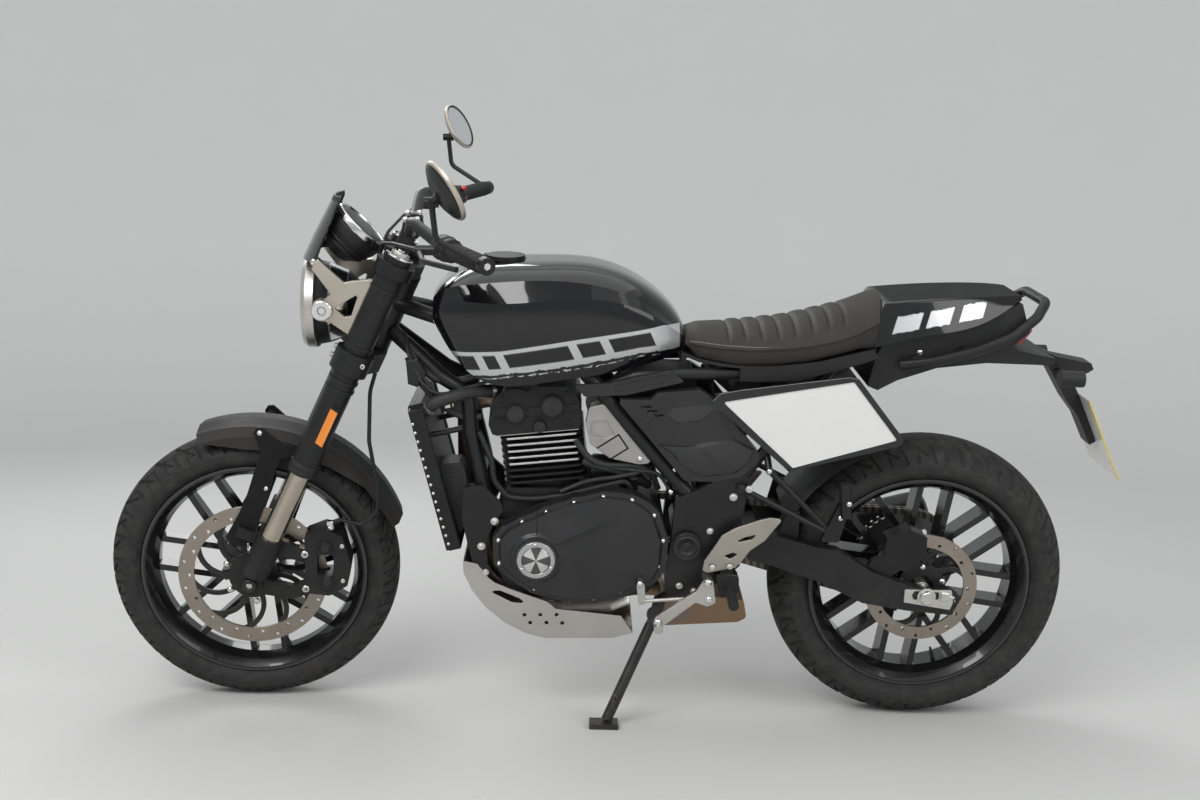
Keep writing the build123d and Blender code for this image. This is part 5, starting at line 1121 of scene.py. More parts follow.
cover = {
    "outline": ((872, 403), (855, 433), (790, 468), (723, 494), (660, 511), (607, 508), (560, 485), (533, 430),
                (529, 370), (545, 328), (590, 304), (650, 282), (720, 278), (790, 294), (850, 332), (872, 368)),
    "bolts": ((817, 446), (770, 468), (716, 489), (659, 503), (602, 498), (557, 467), (537, 414), (545, 360),
              (728, 290), (620, 303), (672, 287), (790, 305), (862, 357), (864, 406)),
    "middle": (700, 394), "base": 98.2, "flange": 127.5, "shoulder": 137.0, "crown": 143.5, "rows": 64, "around": 420,
    "cap": (788, 374), "capRadius": 42.0, "land": 146.0, "crease": ((744, 412), (632, 466)), "creaseHigh": 6.5,
    "drum": (730, 98.2, 392), "pump": (828, 98.2, 372),
}


def coverCasting(kit):
    x, y, z = kit.inFrame(bikeFrame)
    grain = kit.noise(900.0, 4.0, 0.7)
    rough = 0.26 + 0.10 * kit.noise(40.0, 5.0) + 0.06 * grain
    base = finish(varied(kit, (0.026, 0.026, 0.028), 0.18), rough, 0.45, 0.15, grain * 0.06)
    seam = x.between(786.6, 789.2, 0.5) * z.step(424, 1.0) * abs(y).step(120, 1.0)
    return dusty(kit, blended(seam, base, finish((0.004, 0.004, 0.004), 0.8, height=-0.5)), 330.0, 0.3)


coverSkin = paint("coverCasting", coverCasting)


def closedCurve(points, steps):
    # the same curve through points, joined end to start
    p = np.asarray(points, float)
    q = np.concatenate([p[-1:], p, p[:2]])
    t = np.linspace(0, len(p), steps, endpoint=False)
    i = t.astype(int)
    return catmull(q[i], q[i + 1], q[i + 2], q[i + 3], (t - i)[:, None])


def blendStep(value, low, high):
    # 0 below low, 1 above high, and 3t2 - 2t3 between
    t = np.clip((value - low) / (high - low), 0, 1)
    return t * t * (3 - 2 * t)


def creaseRidge(p, share):
    # a crease falls away slowly above its line and fast below it, and fades out at its ends
    start, end = (np.array(v, float) for v in cover["crease"])
    along = unit(end - start)
    run = (p - start) @ along / np.linalg.norm(end - start)
    above = (p - start) @ np.array([along[1], -along[0]])
    ridge = np.where(above > 0, np.exp(-np.clip(above, 0, None) / 34), np.exp(np.clip(above, None, 0) / 7))
    return ridge * blendStep(run, -0.35, 0.15) * (1 - blendStep(run, 0.55, 1.1)) * (1 - blendStep(share, 0.72, 0.9))


def leftCover():
    # a flange with scallops round the bolts, a rolled shoulder, a low dome that falls as the square of the
    # share from its middle, a crease, and a round land for the cap
    c = cover
    rim = closedCurve(c["outline"], c["around"])
    middle = np.array(c["middle"], float)
    near = np.linalg.norm(rim[:, None] - np.array(c["bolts"], float)[None], axis=2).min(1)
    out = (rim - middle) / np.linalg.norm(rim - middle, axis=1)[:, None]
    rim = rim + out * (6.5 * np.exp(-(near / 9.0) ** 2))[:, None]
    share = np.concatenate([np.linspace(0, 0.86, c["rows"] - 22), np.linspace(0.865, 1.0, 22)])
    p = middle + share[:, None, None] * (rim - middle)[None]
    s = np.broadcast_to(share[:, None], p.shape[:2])
    h = c["flange"] + (c["shoulder"] - c["flange"]) * (1 - blendStep(s, 0.90, 0.945))
    h = h + (c["crown"] - c["shoulder"]) * (1 - np.clip(s / 0.92, 0, 1) ** 2)
    h = h + c["creaseHigh"] * creaseRidge(p, s)
    toCap = np.linalg.norm(p - np.array(c["cap"], float), axis=2)
    land = 1 - blendStep(toCap, c["capRadius"] + 5, c["capRadius"] + 12)
    h = h * (1 - land) + c["land"] * land
    top = np.stack([p[..., 0], h, p[..., 1]], -1)
    foot = rim + out * 0.8
    wall = [np.stack([foot[:, 0], np.full(len(rim), y), foot[:, 1]], -1) for y in (c["flange"] - 1.2, c["base"])]
    back = np.broadcast_to(np.array([middle[0], c["base"], middle[1]]), (1, len(rim), 3))
    rows = np.concatenate([top, np.stack(wall), back])
    return rows.reshape(-1, 3), [gridFaces(len(rows), len(rim), closeColumns=True)]


def rightCover():
    # the clutch drum's cover with two steps, the pump's round cover, and the sprocket guard
    drum = lathe([(0, 46), (60, 46), (80, 45), (87, 42), (90, 37), (97, 36), (101, 33), (102, 0), (0, 0)], 96)
    inner = lathe([(0, 48.5), (40, 48.5), (44, 47.5), (46, 44), (0, 44)], 60)
    pump = lathe([(0, 32), (24, 32), (31, 30), (35, 25), (36, 0), (0, 0)], 48)
    guard = slab([(560, 330), (548, 400), (570, 455), (640, 480), (700, 470), (700, 320), (620, 310)], 98.2, 113, 6)
    return mirrorY(gather([aimed(drum, cover["drum"]), aimed(inner, cover["drum"]), aimed(pump, cover["pump"]), guard]))


def ringOf(at, radius, y, turns, side, head, high):
    # bolts on a circle about a point of the side view
    return [(at[0] + radius * math.cos(a), y, at[1] + radius * math.sin(a), 0, side, 0, head, high) for a in turns]


onBike("engineCoverCastings", gather([leftCover(), rightCover()]), coverSkin, replaced=("engine_covers",),
       slot="satin_black", smoothAngle=32)
bolts("coverBolts", domeHead, [(x, 127.0, z, 5.6, 6.5) for x, z in cover["bolts"]], boltBright)
bolts("coverBoltSeats", domeHead, [(x, 126.0, z, 8.2, 2.4) for x, z in cover["bolts"]], boltBlack)
clutchBolts = ringOf((730, 392), 95, -132, np.linspace(0.2, 6.48, 11)[:-1], -1, 5.0, 5.0)
clutchBolts += ringOf((828, 372), 31, -127, (-1.4, -0.3, 0.8, 1.9), -1, 4.2, 4.5)
clutchBolts += [(x, -112, z, 0, -1, 0, 4.6, 5.0) for x, z in ((565, 342), (560, 400), (582, 450), (640, 470))]
bolts("clutchCoverBolts", hexHead, clutchBolts, boltZinc)


def capSectors(kit):
    # four bright and four grey sectors inside a silver ring, with a black outer ring
    x, y, z = kit.inFrame(bikeFrame)
    u, w = x - cover["cap"][0], z - cover["cap"][1]
    radius = lengthOf(u, w)
    saw = (w.math("ARCTAN2", u) * (4 / math.pi) * 0.5).fraction().between(0.25, 0.75, 0.02)
    sectors = saw.mix((0.12, 0.12, 0.125), (0.70, 0.70, 0.69))
    colour = radius.between(28.5, 38.5, 0.4).mix(sectors, (0.50, 0.50, 0.49))
    colour = radius.step(38.6, 0.4).mix(colour, (0.02, 0.02, 0.021))
    colour = radius.between(27.6, 28.6, 0.2).mix(colour, (0.01, 0.01, 0.01))
    metal = (1.0 - radius.step(38.6, 0.4)) * 0.95
    return finish(colour, 0.20 + 0.16 * kit.noise(90.0, 5.0), metal, height=kit.noise(700.0) * 0.04)


capDisc = lathe([(0, 153.5), (26, 153.0), (28, 151.6), (29, 152.6), (37, 152.4), (38.6, 150.6), (39.5, 151.6),
                 (42.5, 150.8), (44, 147), (44, 140), (0, 140)], 96)
onBike("inspectionCap", aimed(capDisc, (cover["cap"][0], 0, cover["cap"][1])), paint("capSectors", capSectors))
bolts("capBolts", domeHead, ringOf(cover["cap"], 33.4, 152.3, (1.5, 3.6, 5.7), 1, 2.6, 1.4), boltBright)

# Frame and engine bolts seen on the left, and the same ones on the right.
bolts("frameBolts", hexHead, [
    (873, 107, 438, 8.0, 7), (899, 107, 384, 8.0, 7), (890, 107, 329, 8.0, 7), (444, 120, 434, 7.0, 6),
    (402, 120, 507, 8.0, 7), (373, 133, 529, 7.5, 7), (439, 154, 371, 6.5, 6), (405, 154, 374, 6.5, 6),
    (64, 103, 785, 8.0, 5), (-34, 106, 808, 8.0, 5), (500, 120, 315, 7.0, 6), (470, 120, 305, 7.0, 6),
], boltZinc, both=True)
lug = slab([(978, 675), (940, 681), (915, 679), (909, 665), (915, 648), (947, 647), (976, 651)], 60, 66, 2)
onBike("frontLugs", paired(lug), blackSkin)


def boltYellow(kit):
    gold = kit.noise(200.0).mix((0.62, 0.50, 0.16), (0.75, 0.66, 0.30))
    return finish(gold, 0.25, 1.0, height=kit.noise(900.0) * 0.05)


bolts("lugBolts", hexHead, [(966, 66, 665, 7.0, 6)], paint("boltYellow", boltYellow), both=True)


def pivotCap():
    # a round cap: a raised ring with a sunken middle and a hexagon in it
    ring = lathe([(0, 2.0), (13, 2.0), (15, 3.0), (17, 6.0), (20, 6.6), (22, 5.0), (24, 4.8), (27, 6.0), (29, 3.5),
                  (29, -6), (0, -6)], 64)
    nut = hexed([(0, 5.5), (8.5, 5.5), (10.0, 4.6), (10.5, 1.0), (0, 1.0)], (1, 2, 3))
    return paired(gather([aimed(part, (490, 128, 404)) for part in (ring, nut)]))


onBike("pivotCaps", pivotCap(), boltBlack, replaced=("swingarm_pivot",), slot="satin_black")

# The head's plugs and bolts.
plugs = (((836, 91, 656), [(0, 3.4), (14, 3.2), (16, 2.2), (17, -2), (0, -2)]),
         ((764, 91, 673), [(0, 3.4), (17, 3.2), (19.5, 2.2), (20.5, -2), (0, -2)]),
         ((788, 91, 632), [(0, 2.0), (6, 2.0), (7, 4.5), (11, 4.5), (12.6, 2.2), (13, -2), (0, -2)]))
onBike("headPlugs", paired(gather([aimed(lathe(profile, 40), at) for at, profile in plugs])), coverSkin)
headBolts = [(862, 84, 640, 4.5, 5), (814, 88, 659, 4.0, 4), (735, 88, 668, 4.0, 4), (730, 84, 640, 4.5, 5),
             (862, 84, 686, 4.0, 4), (736, 84, 700, 4.0, 4)]
bolts("headBolts", socketHead, headBolts, boltBlack, both=True)
print("stage: engine")

# Parts that turn with the fork.
def reflectorOrange(kit):
    x, y, z = kit.inFrame(forkFrame)
    # the prism pattern sets both colour and bumps: bright orange on the raised facets and darker orange in the hollows,
    # painted highlight and shade
    prism = crossed(x, z, 1.1) * 0.5 + 0.5
    return finish(prism.mix((0.55, 0.13, 0.01), (0.90, 0.30, 0.02)), 0.16, 0.0, 1.0, prism * 0.3)


def forkSide(wide, low, high, outward):
    # a rounded bar set against the outside of each fork tube
    section = np.array([(-9, -1.5), (-9, 1.2), (-7.5, 2.4), (7.5, 2.4), (9, 1.2), (9, -1.5)]) * (wide, 1)
    points, faces = tube([(-7, 0, h) for h in np.linspace(low, high, 8)], section)
    return paired((points + (0, outward, 0), faces))


onBars("forkReflectors", forkSide(1.25, 340, 416, 129.0), paint("reflectorOrange", reflectorOrange), forkFrame)
onBars("reflectorBacks", forkSide(1.4, 336, 420, 127.6), mouldSkin, forkFrame)


def forkRings():
    # dust seals, and tube rings under each yoke
    seal = lathe([(22.2, -3), (26, -2), (29.6, 1), (29.8, 8), (28.9, 10), (29.8, 12), (29.6, 19), (28.4, 21), (24, 21),
                  (22.2, 3)], 48)
    ring = lathe([(28, 0), (29.6, 0.6), (29.8, 3), (29.6, 5.4), (28, 6)], 48)
    heights = ((seal, 263), (ring, 452), (ring, 470), (ring, 545), (ring, 668))
    return gather([aimed(part, (0, y, h), (0, 0, 1)) for y in (100, -100) for part, h in heights])


onBars("forkRings", forkRings(), boltBlack, forkFrame)
topCap = hexed([(0, 6), (5, 6), (6, 5), (6, 3), (13.5, 3), (14.5, 2), (14.5, 0), (0, 0)], (4, 5, 6))
capRing = lathe([(18, -0.5), (23.5, 0.2), (25.5, 1.4), (27.2, 0.4), (27.2, -1), (18, -1)], 48)
caps = [aimed(part, (0, y, h), (0, 0, 1)) for part, h in ((topCap, 746), (capRing, 739)) for y in (100, -100)]
onBars("forkCaps", gather(caps), boltBright, forkFrame)
yokeBolts = [(37, y, z, 1, 0, 0, 5.2, 6) for y, z in ((88, 506), (88, 525), (90, 713))] + [(-22, 128, 520, 5.0, 5)]
bolts("yokeBolts", socketHead, yokeBolts, boltZinc, "steering", forkFrame, True)
axleEnd = hexed([(0, 1.5), (7.5, 1.5), (7.5, 6.5), (12.5, 7), (14.5, 5.6), (15.5, 2), (15.5, -2), (0, -2)], (1, 2))
onBars("axleCaps", gather([aimed(axleEnd, (0, 113.5 * s, 0), (0, s, 0)) for s in (1, -1)]), boltBlack, forkFrame)
fenderBolts = [(axleX - 27, 73.7, 603, 6.5, 5), (axleX - 35, 73.7, 486, 6.0, 5), (axleX + 20, 73.7, 392, 6.0, 5)]
bolts("fenderBolts", domeHead, fenderBolts, boltBright, "steering", steerFrame, True)
caliperBolts = [(axleX - 109, 92, 277, 7.5, 7), (axleX - 109, 92, 353, 7.5, 7), (axleX - 184, 98, 372, 4.5, 4),
                (axleX - 184, 98, 296, 4.5, 4)]
bolts("caliperBolts", socketHead, caliperBolts, boltZinc, "steering", steerFrame)
piston = lathe([(0, 2.5), (9, 2.5), (10.5, 1.2), (11.5, 3.4), (13.5, 3.4), (14.5, 2.0), (14.5, -2), (0, -2)], 40)
pistonsAt = (axleX - 150, 101, 368), (axleX - 152, 101, 292)
onBars("pistonCaps", gather([aimed(piston, at) for at in pistonsAt]), boltBlack)
banjoBolt = hexed([(0, 14), (6, 14), (7, 12), (7, 4), (9, 3.4), (9, -2), (0, -2)], (1, 2, 3))
banjoEye = lathe([(5, -3.6), (8.4, -3), (8.4, 3), (5, 3.6)], 24)
banjo = [aimed(part, (1211, 84, z), (0, 0, 1)) for part, z in ((banjoBolt, 407), (banjoEye, 409))]
onBars("hoseBanjo", gather(banjo), boltBright)

# Lamp: bracket bolts, the bowl's lamp unit, and a beaded rim.
headlamp = {"at": (1190, 0, 852), "radius": 75.5, "deep": 30, "bolt": (1212, 112.5, 862)}
hexCap = hexed([(0, 3.5), (7.2, 3.5), (8.2, 2.6), (8.2, 0), (0, 0)], (1, 2, 3))
cup = lathe([(8.5, -0.2), (13, 0.4), (17.5, 0.4), (19.4, -1), (19.4, -3), (8.5, -3)], 48)
cupAt = np.add(headlamp["bolt"], (0, 4.1, 0))
onBars("bracketBolts", paired(gather([aimed(hexCap, headlamp["bolt"]), aimed(cup, cupAt)])), boltBright)
# the reflector is a parabolic bowl: its depth grows as the square of the radius
bowl = [(a, 8 + headlamp["deep"] * (a / headlamp["radius"]) ** 2) for a in np.linspace(0, headlamp["radius"], 30)]
reflector = lathe(bowl + [(headlamp["radius"], 34), (40, 10), (0, 4)], 72)
projector = lathe([(0, 34), (12, 33), (22, 29), (27, 22), (29, 22), (31, 20), (31, 8), (0, 8)], 48)
bead = lathe([(83.2, 39.2), (84.6, 38.2), (86.2, 38.6), (87.0, 40.2), (86.0, 41.6), (83.4, 41.4)], 96)


def projectorGlass(kit):
    tint = kit.noise(30.0).mix((0.05, 0.06, 0.08), (0.12, 0.14, 0.17))
    return finish(tint, 0.06, 0.2, 1.0, kit.noise(60.0) * 0.02)


glassSkin = paint("projectorGlass", projectorGlass)
for name, shape, skin in (("lampReflector", reflector, boltBright), ("lampProjector", projector, glassSkin),
                          ("lampBead", bead, boltBlack)):
    onBars(name, aimed(shape, headlamp["at"], (1, 0, 0)), skin)
bolts("bowlScrews", domeHead, [(1204, 74, 828, 0.3, 0.9, -0.3, 3.6, 3)], boltZinc, "steering", steerFrame, True)
stud = lathe([(0, 5), (3, 5), (5.6, 3.6), (6.6, 0), (0, 0)], 20)
onBars("screenStuds", gather([aimed(stud, (1226, 96 * s, 951), (0, s, 0)) for s in (1, -1)]), boltBright)

# The clock: a bright ring, a dark glass and fine marks under it.
clock = {"at": (1155, 0, 994), "tip": 44.0, "ticks": 60}
clockPlace = turnY(-clock["tip"])
clockPlace[:3, 3] = np.array(clock["at"]) / 1000
clockPlace = steerFrame @ clockPlace


def clockDial(kit):
    x, y, z = kit.inFrame(clockPlace)
    turn = y.math("ARCTAN2", x) * (clock["ticks"] / 2 / math.pi)
    tick = abs(turn.fraction() - 0.5).step(0.42, 0.03) * lengthOf(x, y).between(42, 47, 0.4)
    panel = abs(x).step(20, 0.5).most(abs(y - 6.0).step(30, 0.5))
    colour = tick.mix(panel.mix((0.020, 0.022, 0.025), (0.006, 0.006, 0.007)), (0.35, 0.36, 0.37))
    return finish(colour, 0.22 + 0.06 * kit.noise(40.0, 5.0), height=kit.noise(40.0) * 0.01)


glass = lathe([(0, 19.8), (30, 19.6), (50, 18.9), (53.5, 18.0), (53.5, 16), (0, 16)], 72)
rim = lathe([(52.5, 17.5), (54.0, 20.6), (57.0, 21.2), (59.8, 19.6), (60.6, 16), (60.4, 9), (59.2, 7.5),
             (52.5, 15)], 96)
rib = np.array([(45.5, -38.5), (47.5, -37), (46.8, -34), (45.0, -34.5)])
onBars("clockGlass", glass, paint("clockDial", clockDial, {"Specular IOR Level": 0.12}), clockPlace)
onBars("clockRing", rim, boltBright, clockPlace)
onBars("clockRibs", gather([lathe(rib + (k, k * 2.0), 60) for k in (0, 5.0)]), mouldSkin, clockPlace)
print("stage: fork and lamp")

# Panels, hoses, wiring and the parts round the rear wheel.
def hoses(name, rows, sides=12):
    # hoses and cables: each row is (radius, steps, points)
    onBike(name, gather([tube(smoothPath(points, steps), circle(radius, sides)) for radius, steps, points in rows]),
           rubberSkin, smoothAngle=50)


panels = {
    "lower": ((556, 613), (512, 610), (470, 617), (408, 629), (366, 608), (377, 578), (402, 557), (468, 547),
              (508, 570), (527, 594)),
    "upper": ((536, 688), (452, 700), (425, 690), (452, 681), (470, 660), (520, 654), (546, 668)),
    "scoop": ((476, 603), (462, 605), (437, 578), (447, 573)),
    "slots": (((603, 689), (594, 672)), ((587, 681), (578, 664)), ((573, 673), (564, 656))),
    "slotHalf": 4.2, "slotFace": 121.6, "rim": 1.5, "slotPoints": 28,
}


def slotRim(start, end):
    # two half circles about the slot's ends, joined
    run = unit(np.subtract(end, start))
    a = np.linspace(0, 2 * math.pi, panels["slotPoints"], endpoint=False)[:, None]
    ring = np.where(np.cos(a) > 0, np.array([end]), np.array([start]))
    ring = ring + panels["slotHalf"] * (np.cos(a) * run + np.sin(a) * np.array([-run[1], run[0]]))
    path = np.stack([ring[:, 0], np.full(len(a), panels["slotFace"]), ring[:, 1]], -1)
    return tube(path, circle(panels["rim"], 8), closed=True)


def panelSatin(kit):
    return dusty(kit, worn(kit, (0.017, 0.017, 0.018), 0.2, (0.28, 0.12, 24.0, 5.0), (700.0, 0.03), 0.0, 0.25))


# raised fields with wide bevels on the side panels, and pressed rims round three slanted slots
fields = [slab(panels["lower"], 116, 127.0, 7), slab(panels["upper"], 112, 123.5, 6)]
fields += [slotRim(start, end) for start, end in panels["slots"]]
fields += [mirrorY(part) for part in fields]
onBike("panelRelief", gather(fields), paint("panelSatin", panelSatin), smoothAngle=40)
onBike("panelScoops", paired(slab(panels["scoop"], 124, 127.6, 1.5)), rubberSkin)

hoses("throttleHoses", [
    (9.0, 40, [(700, 78, 560), (668, 84, 552), (640, 80, 545), (600, 70, 528), (566, 40, 500)]),
    (6.5, 40, [(716, 84, 604), (690, 90, 572), (655, 88, 556), (600, 86, 556), (566, 78, 540), (548, 60, 500)]),
    (4.5, 40, [(744, 96, 500), (690, 92, 522), (630, 88, 532), (580, 84, 545), (540, 60, 560)]),
    (4.0, 30, [(682, 80, 566), (650, 88, 552), (594, 88, 546), (552, 88, 540), (528, 92, 512)]),
])
hoses("coolantHoses", [
    (13.0, 40, [(1018, 78, 650), (996, 88, 672), (960, 84, 686), (920, 70, 694), (872, 48, 690), (850, 30, 680)]),
    (13.0, 40, [(962, -84, 400), (930, -96, 392), (900, -94, 396), (868, -84, 400)]),
    (8.0, 40, [(1050, 34, 770), (1030, 46, 742), (1000, 52, 716), (960, 50, 708), (900, 46, 722)]),
    (7.0, 40, [(1052, 40, 752), (1036, 52, 720), (1010, 62, 690), (980, 64, 660), (940, 62, 640), (905, 60, 640)]),
    (4.0, 40, [(1058, 30, 790), (1046, 54, 762), (1028, 66, 730), (1000, 72, 700), (986, 76, 668)]),
    (3.4, 40, [(1060, 20, 800), (1050, 60, 770), (1036, 70, 740), (1016, 76, 706), (985, 78, 690), (940, 76, 700),
               (890, 70, 716)]),
], 16)
clip = lathe([(13.2, -4), (15.0, -3.6), (15.0, 3.6), (13.2, 4)], 32)
clips = (((1006, 84, 663), (-22, 12, 22)), ((884, 53, 692), (-48, -22, -4)), ((940, -93, 393.5), (-32, -8, -8)),
         ((880, -88, 398.5), (-32, 10, 4)))
onBike("hoseClips", gather([aimed(clip, at, axis) for at, axis in clips]), boltZinc)
motor = lathe([(0, 46), (20, 46), (24, 44), (26, 38), (26, -38), (24, -44), (12, -46), (9, -54), (0, -54)], 40)
elbow = lathe([(0, 14), (10, 14), (12, 12), (12, -30), (0, -30)], 24)
bridge = slab([(700, 540), (655, 560), (610, 566), (560, 556), (548, 520), (580, 500), (700, 515)], 20, 52, 5)
starter = [aimed(motor, (640, 46, 536), (1, 0, 0.08)), aimed(elbow, (600, 66, 520), (0, 0.6, 1)), bridge]
onBike("starterMotor", gather(starter), coverSkin)
plug = slab([(977, 682), (963, 683), (961, 660), (976, 658)], 66, 84, 2)
junction = slab([(1052, 752), (1030, 758), (1012, 728), (1030, 700), (1048, 706)], 56, 74, 3)
onBike("wirePlugs", gather([plug, junction]), mouldSkin)
onBike("wirePlugFront", slab([(975, 679), (965, 680), (963, 664), (974, 662)], 84, 87, 1), boltZinc)

# Studs along the radiator's tank edges, and thin bars across its core.
studs = [(1037 - 76 * s, side * 118, 648 - 268 * s, 0, side, 0, 3.2, 1.6) for s in np.linspace(0.04, 0.96, 15)
         for side in (1, -1)]
bolts("radiatorStuds", domeHead, studs, boltZinc)
barSection = np.array([(1.2, 0), (0.6, 3.4), (-0.6, 3.4), (-1.2, 0), (-0.6, -3.4), (0.6, -3.4)])
coreBars = [tube([(967.5 + 79 * s, y, 372 + 301 * s) for y in (-98, -30, 30, 98)], barSection)
            for s in np.linspace(0.03, 0.97, 34)]
onBike("radiatorBars", gather(coreBars), blackSkin)
shock = {"foot": (385.0, 0, 428.0), "head": (455.0, 0, 722.0), "run": (76, 240), "turns": 8.5, "coil": 33.5,
         "wire": 5.6, "steps": 340}


def shockCoil():
    # a helix about the shock's axis: side = R cos a, R sin a, and the height grows evenly with a
    axis = unit(np.subtract(shock["head"], shock["foot"]))
    a = np.linspace(0, 2 * math.pi * shock["turns"], shock["steps"])[:, None]
    across = np.array([0, 1.0, 0])
    run = np.linspace(*shock["run"], shock["steps"])[:, None]
    turn = np.cos(a) * across + np.sin(a) * np.cross(axis, across)
    return tube(np.array(shock["foot"]) + axis * run + shock["coil"] * turn, circle(shock["wire"], 10))


onBike("shockCoil", shockCoil(), paint("coilBlack", glossBlack))


# Disc and sprocket bolts turn with their wheels.
def hubBolts(name, kind, count, radius, y, head, high, start, skin, body, axle):
    turns = np.linspace(0, 2 * math.pi, count, endpoint=False) + start
    bolts(name, kind, ringOf((0, 0), radius, y, turns, math.copysign(1, y), head, high), skin, body, axle)


hubBolts("frontDiscBolts", domeHead, 6, 58, 64.2, 7.0, 4.5, 0.45, boltBright, "front_wheel", frontAxle)
hubBolts("rearDiscBolts", domeHead, 5, 45, 76.2, 7.0, 4.5, 0.3, boltBright, "rear_wheel", rearAxle)
hubBolts("sprocketBolts", hexHead, 5, 62, -91.0, 8.0, 6.0, 0.3, boltZinc, "rear_wheel", rearAxle)
stem = lathe([(0, 26), (2.2, 26), (2.6, 24), (2.6, 14), (4.0, 13), (4.2, 0), (0, 0)], 12)
stem = aimed(stem, (-60, 8, -190), (0.30, 0, 0.95))
meshPiece("frontValve", stem, "front_wheel", rubberSkin, frontAxle)
meshPiece("rearValve", stem, "rear_wheel", rubberSkin, rearAxle)


def adjusters():
    # a nut and washer over the slot, end blocks and their bolts, on both ends of the rear axle
    nut = hexed([(0, 9), (9, 9), (9, 10.5), (13, 11), (15, 9.5), (15.5, 2.0), (19, 1.2), (19, -1), (0, -1)], (3, 4))
    block = slab([(-30, -11), (-30, 9), (-46, 7), (-50, -2), (-46, -10)], 112, 122, 2)
    return paired(gather([aimed(nut, (0, 123.5, 0)), block, tube([(-42, 117, -1), (-58, 117, -3.5)], circle(3.2, 10))]))


meshPiece("axleNuts", adjusters(), "chassis", boltZinc, rearAxle)
slotShape = slab([(-26, -8), (-28, 0), (-26, 8), (24, 9), (28, 0), (24, -9)], 116.6, 117.7, 0.8)
meshPiece("axleSlots", paired(slotShape), "chassis", rubberSkin, rearAxle)

leftOnly = [(448, 170, 343, 8.5, 5), (443, 166, 306, 8.0, 5), (545, 186, 264, 8.0, 5), (581, 157, 333, 6.5, 5),
            (178, 150, 509, 6.0, 4), (190, 138, 475, 6.0, 4), (524, 96, 506, 8.0, 8)]
onBoth = [(336, 131, 566, 7.0, 6), (520, 105, 554, 5.0, 3), (52, 84, 803, 6.0, 3), (588, 98, 573, 6.5, 4)]
bolts("sideBolts", domeHead, leftOnly + onBoth, boltBright)
bolts("sideBoltsRight", domeHead, [(x, -y, z, 0, -1, 0, *size) for x, y, z, *size in onBoth], boltBright)
print("stage: rear and panels")

# Controls on the handlebar, which turn with the fork.
def barPoint(share, side=1):
    # a point on the straight outer part of the bar, from the bend (0) to the end (1)
    inner = np.array([975.7, 289.0, 1020.8])
    p = inner + (np.array([907.3, 425.0, 1019.8]) - inner) * share
    return p * (1, side, 1)


outward = unit(barPoint(1) - barPoint(0))
pod = lathe([(19, -15), (22.6, -13), (23.4, -8), (22.4, -1), (22.4, 1), (23.4, 8), (22.6, 13), (19, 15)], 40)
collar = lathe([(17, -3), (20, -2.4), (20.4, 0), (20, 2.4), (17, 3)], 40)


def button(radius, high, sides=20):
    # a short rounded knob: flat to two thirds of its radius, then rounded off
    return lathe([(0, high), (radius[0], high), (radius[1], high * 0.75), (radius[2], 0), (0, 0)], sides)


def podParts():
    rows = []
    for side in (1, -1):
        axis = outward * (1, side, 1)
        rows += [aimed(pod, barPoint(0.02, side), axis), aimed(collar, barPoint(0.20, side), axis)]
        face = barPoint(0.03, side) + (-20, 0, 6)
        rows.append(aimed(lathe([(0, 7), (4.5, 7), (6.4, 5), (7, 0), (0, 0)], 24), face, (-1, 0, 0.3)))
        rows.append(aimed(button((3.0, 4.4, 5), 6), face + (2, -11 * side, -12), (-1, 0, -0.1)))
    return gather(rows)


def switchRed(kit):
    rough = 0.30 + 0.15 * kit.noise(120.0, 4.0)
    return finish(varied(kit, (0.50, 0.012, 0.010), 0.15, 60.0), rough, coat=0.3, height=kit.noise(900.0) * 0.05)


onBars("switchPods", podParts(), mouldSkin)
redAt = barPoint(0.03, -1) + (-19, 4, 17)
red = [aimed(lathe([(0, 8), (3.4, 8), (5.2, 6.4), (5.8, 0), (0, 0)], 20), redAt, (-1, 0, 0.7)),
       aimed(button((2.6, 4.0, 4.4), 6), redAt + (-3, -9, -19), (-1, 0, 0.1))]
onBars("redSwitches", gather(red), paint("switchRed", switchRed))
weight = lathe([(0, 13), (6, 13), (6, 12), (11, 12), (13, 10.5), (13.5, 0), (11, -2), (0, -2)], 32)
bolt = hexed([(0, 16.5), (6.0, 16.5), (7.0, 15.5), (7.0, 11), (0, 11)], (1, 2, 3))
for name, shape, skin in (("barEndWeights", weight, boltBlack), ("barEndBolts", bolt, boltBright)):
    onBars(name, gather([aimed(shape, barPoint(1.0, side), outward * (1, side, 1)) for side in (1, -1)]), skin)

# Mirror rims round the glasses.
mirror = {"at": np.array([966.3, 483, 1149.8]), "tip": -62, "swing": 22}


def mirrorAxis(side):
    # the mirror's face: an axis tipped about Y, then swung about Z
    tip, swing = math.radians(mirror["tip"]), math.radians(mirror["swing"])
    return np.array([math.sin(tip) * math.cos(swing), side * math.sin(tip) * math.sin(swing), math.cos(tip)])


ring = lathe([(48.0, -4.5), (50.6, -5.0), (52.6, -2.5), (52.8, 1.5), (51.2, 3.6), (49.2, 3.2)], 72)
rims = [aimed(ring, mirror["at"] * (1, side, 1), mirrorAxis(side)) for side in (1, -1)]
onBars("mirrorRims", gather(rims), paint("rimAlloy", anodised))

# Handlebar clamps with four bolts each.
clamp = [(1066, 1000), (1062, 1022), (1048, 1028), (1030, 1024), (1026, 1000), (1036, 990), (1056, 990)]
onBars("barClamps", gather([slab(clamp, y - 14, y + 14, 3) for y in (38, -38)]), blackSkin)
clampBolts = [(x, y, z, 0.1, 0, 1, 4.6, 5) for x, z in ((1035, 1024.5), (1058, 1024.0)) for y in (30, 46, -30, -46)]
bolts("barClampBolts", socketHead, clampBolts, boltZinc, "steering", steerFrame)
print("stage: controls")

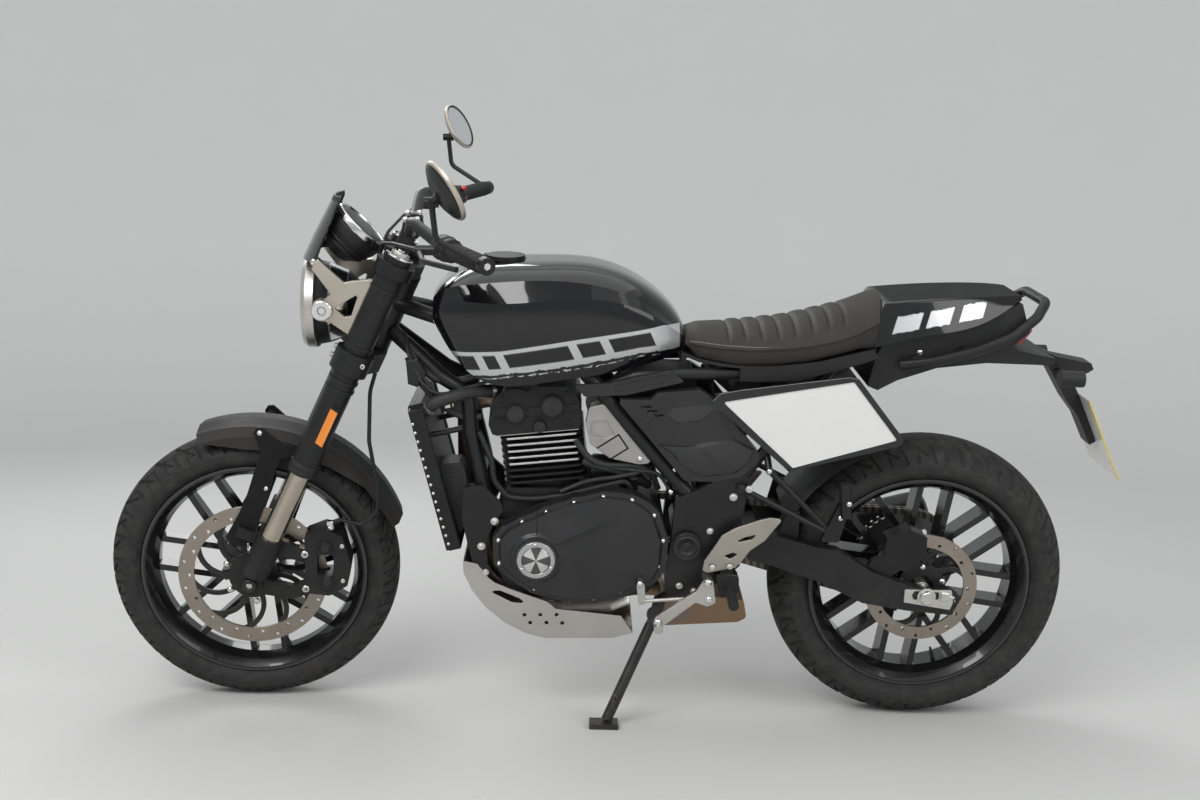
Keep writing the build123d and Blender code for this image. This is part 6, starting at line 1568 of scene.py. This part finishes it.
# Camera, floor, backdrop and lamps.
studio = {
    "cameraAt": (0.0748, 2.5974, 0.8924), "cameraTurn": (84.936, -1.776, 179.116), "lens": 39.96, "sensor": 36,
    "floorColour": (0.58, 0.58, 0.57), "flat": 5.0, "bend": 5.0, "rim": 6.0, "glow": (0.215, 0.22, 0.222),
    "backdrop": (0.80, 0.81, 0.81), "sky": (0.75, 0.78, 0.80), "fill": 0.45,
    "lamps": {  # where each stands, where it aims, its two sides in metres and its watts
        "keyLamp": ((1.5, 2.7, 2.9), (0, 0, 0.5), (2.4, 1.4), 92),
        "fillLamp": ((-2.2, 2.2, 1.9), (0, 0, 0.5), (2.2, 2.2), 36),
        "topLamp": ((0, -0.2, 3.8), (0, -0.1, 0.6), (4.4, 2.6), 26),
        "backLamp": ((1.4, -2.6, 2.7), (0, 0, 0.6), (2.0, 1.2), 34),
    },
}


camera = added("camera", bpy.data.cameras.new("camera"))
camera.location = studio["cameraAt"]
camera.rotation_euler = [math.radians(a) for a in studio["cameraTurn"]]
camera.data.lens, camera.data.sensor_width = studio["lens"], studio["sensor"]
bpy.context.scene.camera = camera
bpy.context.scene.view_settings.view_transform = "Standard"

for name, (at, aim, size, watts) in studio["lamps"].items():
    lamp = added(name, bpy.data.lights.new(name, "AREA"))
    lamp.data.shape = "RECTANGLE"
    lamp.data.size, lamp.data.size_y = size
    lamp.data.energy = watts
    lamp.location = at
    lamp.rotation_euler = (Vector(aim) - Vector(at)).to_track_quat("-Z", "Y").to_euler()


def studioWorld():
    # pale to the camera, mirrors and glass, and dimmer as a light
    world = bpy.data.worlds.new("studioWorld")
    world.use_nodes = True
    tree = world.node_tree
    tree.nodes.clear()
    rays = tree.nodes.new("ShaderNodeLightPath").outputs
    camera, glossy, through = (Wire(tree, rays["Is " + kind + " Ray"]) for kind in ("Camera", "Glossy", "Transmission"))
    lit = camera.make("ShaderNodeBackground", None, {"Color": rgba(studio["sky"]), "Strength": studio["fill"]})
    seen = camera.make("ShaderNodeBackground", None, {"Color": rgba(studio["backdrop"]), "Strength": 1.0})
    mixed = camera.make("ShaderNodeMixShader", None, {0: (camera + glossy + through).least(1.0), 1: lit, 2: seen})
    tree.links.new(mixed.socket, tree.nodes.new("ShaderNodeOutputWorld").inputs[0])
    return world


def studioBowl():
    # a flat round floor that turns up into a wall: r = d + w sin a, z = w - w cos a, spun about Z
    d, w = studio["flat"], studio["bend"]
    bend = [(d + w * math.sin(t), w - w * math.cos(t)) for t in np.linspace(0, math.pi / 2, 30)[1:]]
    points, faces = lathe([(0, 0), (0.5, 0), (2, 0), (d, 0), *bend, (d + w, w + studio["rim"])], 96)
    mesh = plainMesh("studioBowl", points - (0, 0, 0.0005), faces)
    smooth(mesh, 180)
    return added("studioFloor", mesh)


def floorPale(kit):
    # pale and even: it glows a little more with distance, where the lamps fall off
    x, y, z = kit.inFrame(np.eye(4))
    pale = varied(kit, studio["floorColour"], 0.015, 2.0)
    glow = lengthOf(x, y).step(4600.0, 7000.0).mix((0.0, 0.0, 0.0), studio["glow"])
    return {**finish(pale, 0.85 + 0.05 * kit.noise(8.0)), "glow": glow}


bpy.context.scene.world = studioWorld()
floor = studioBowl()
floor.data.materials.append(paint("floorPale", floorPale, {"Emission Strength": 1.0}))
print("stage: studio")
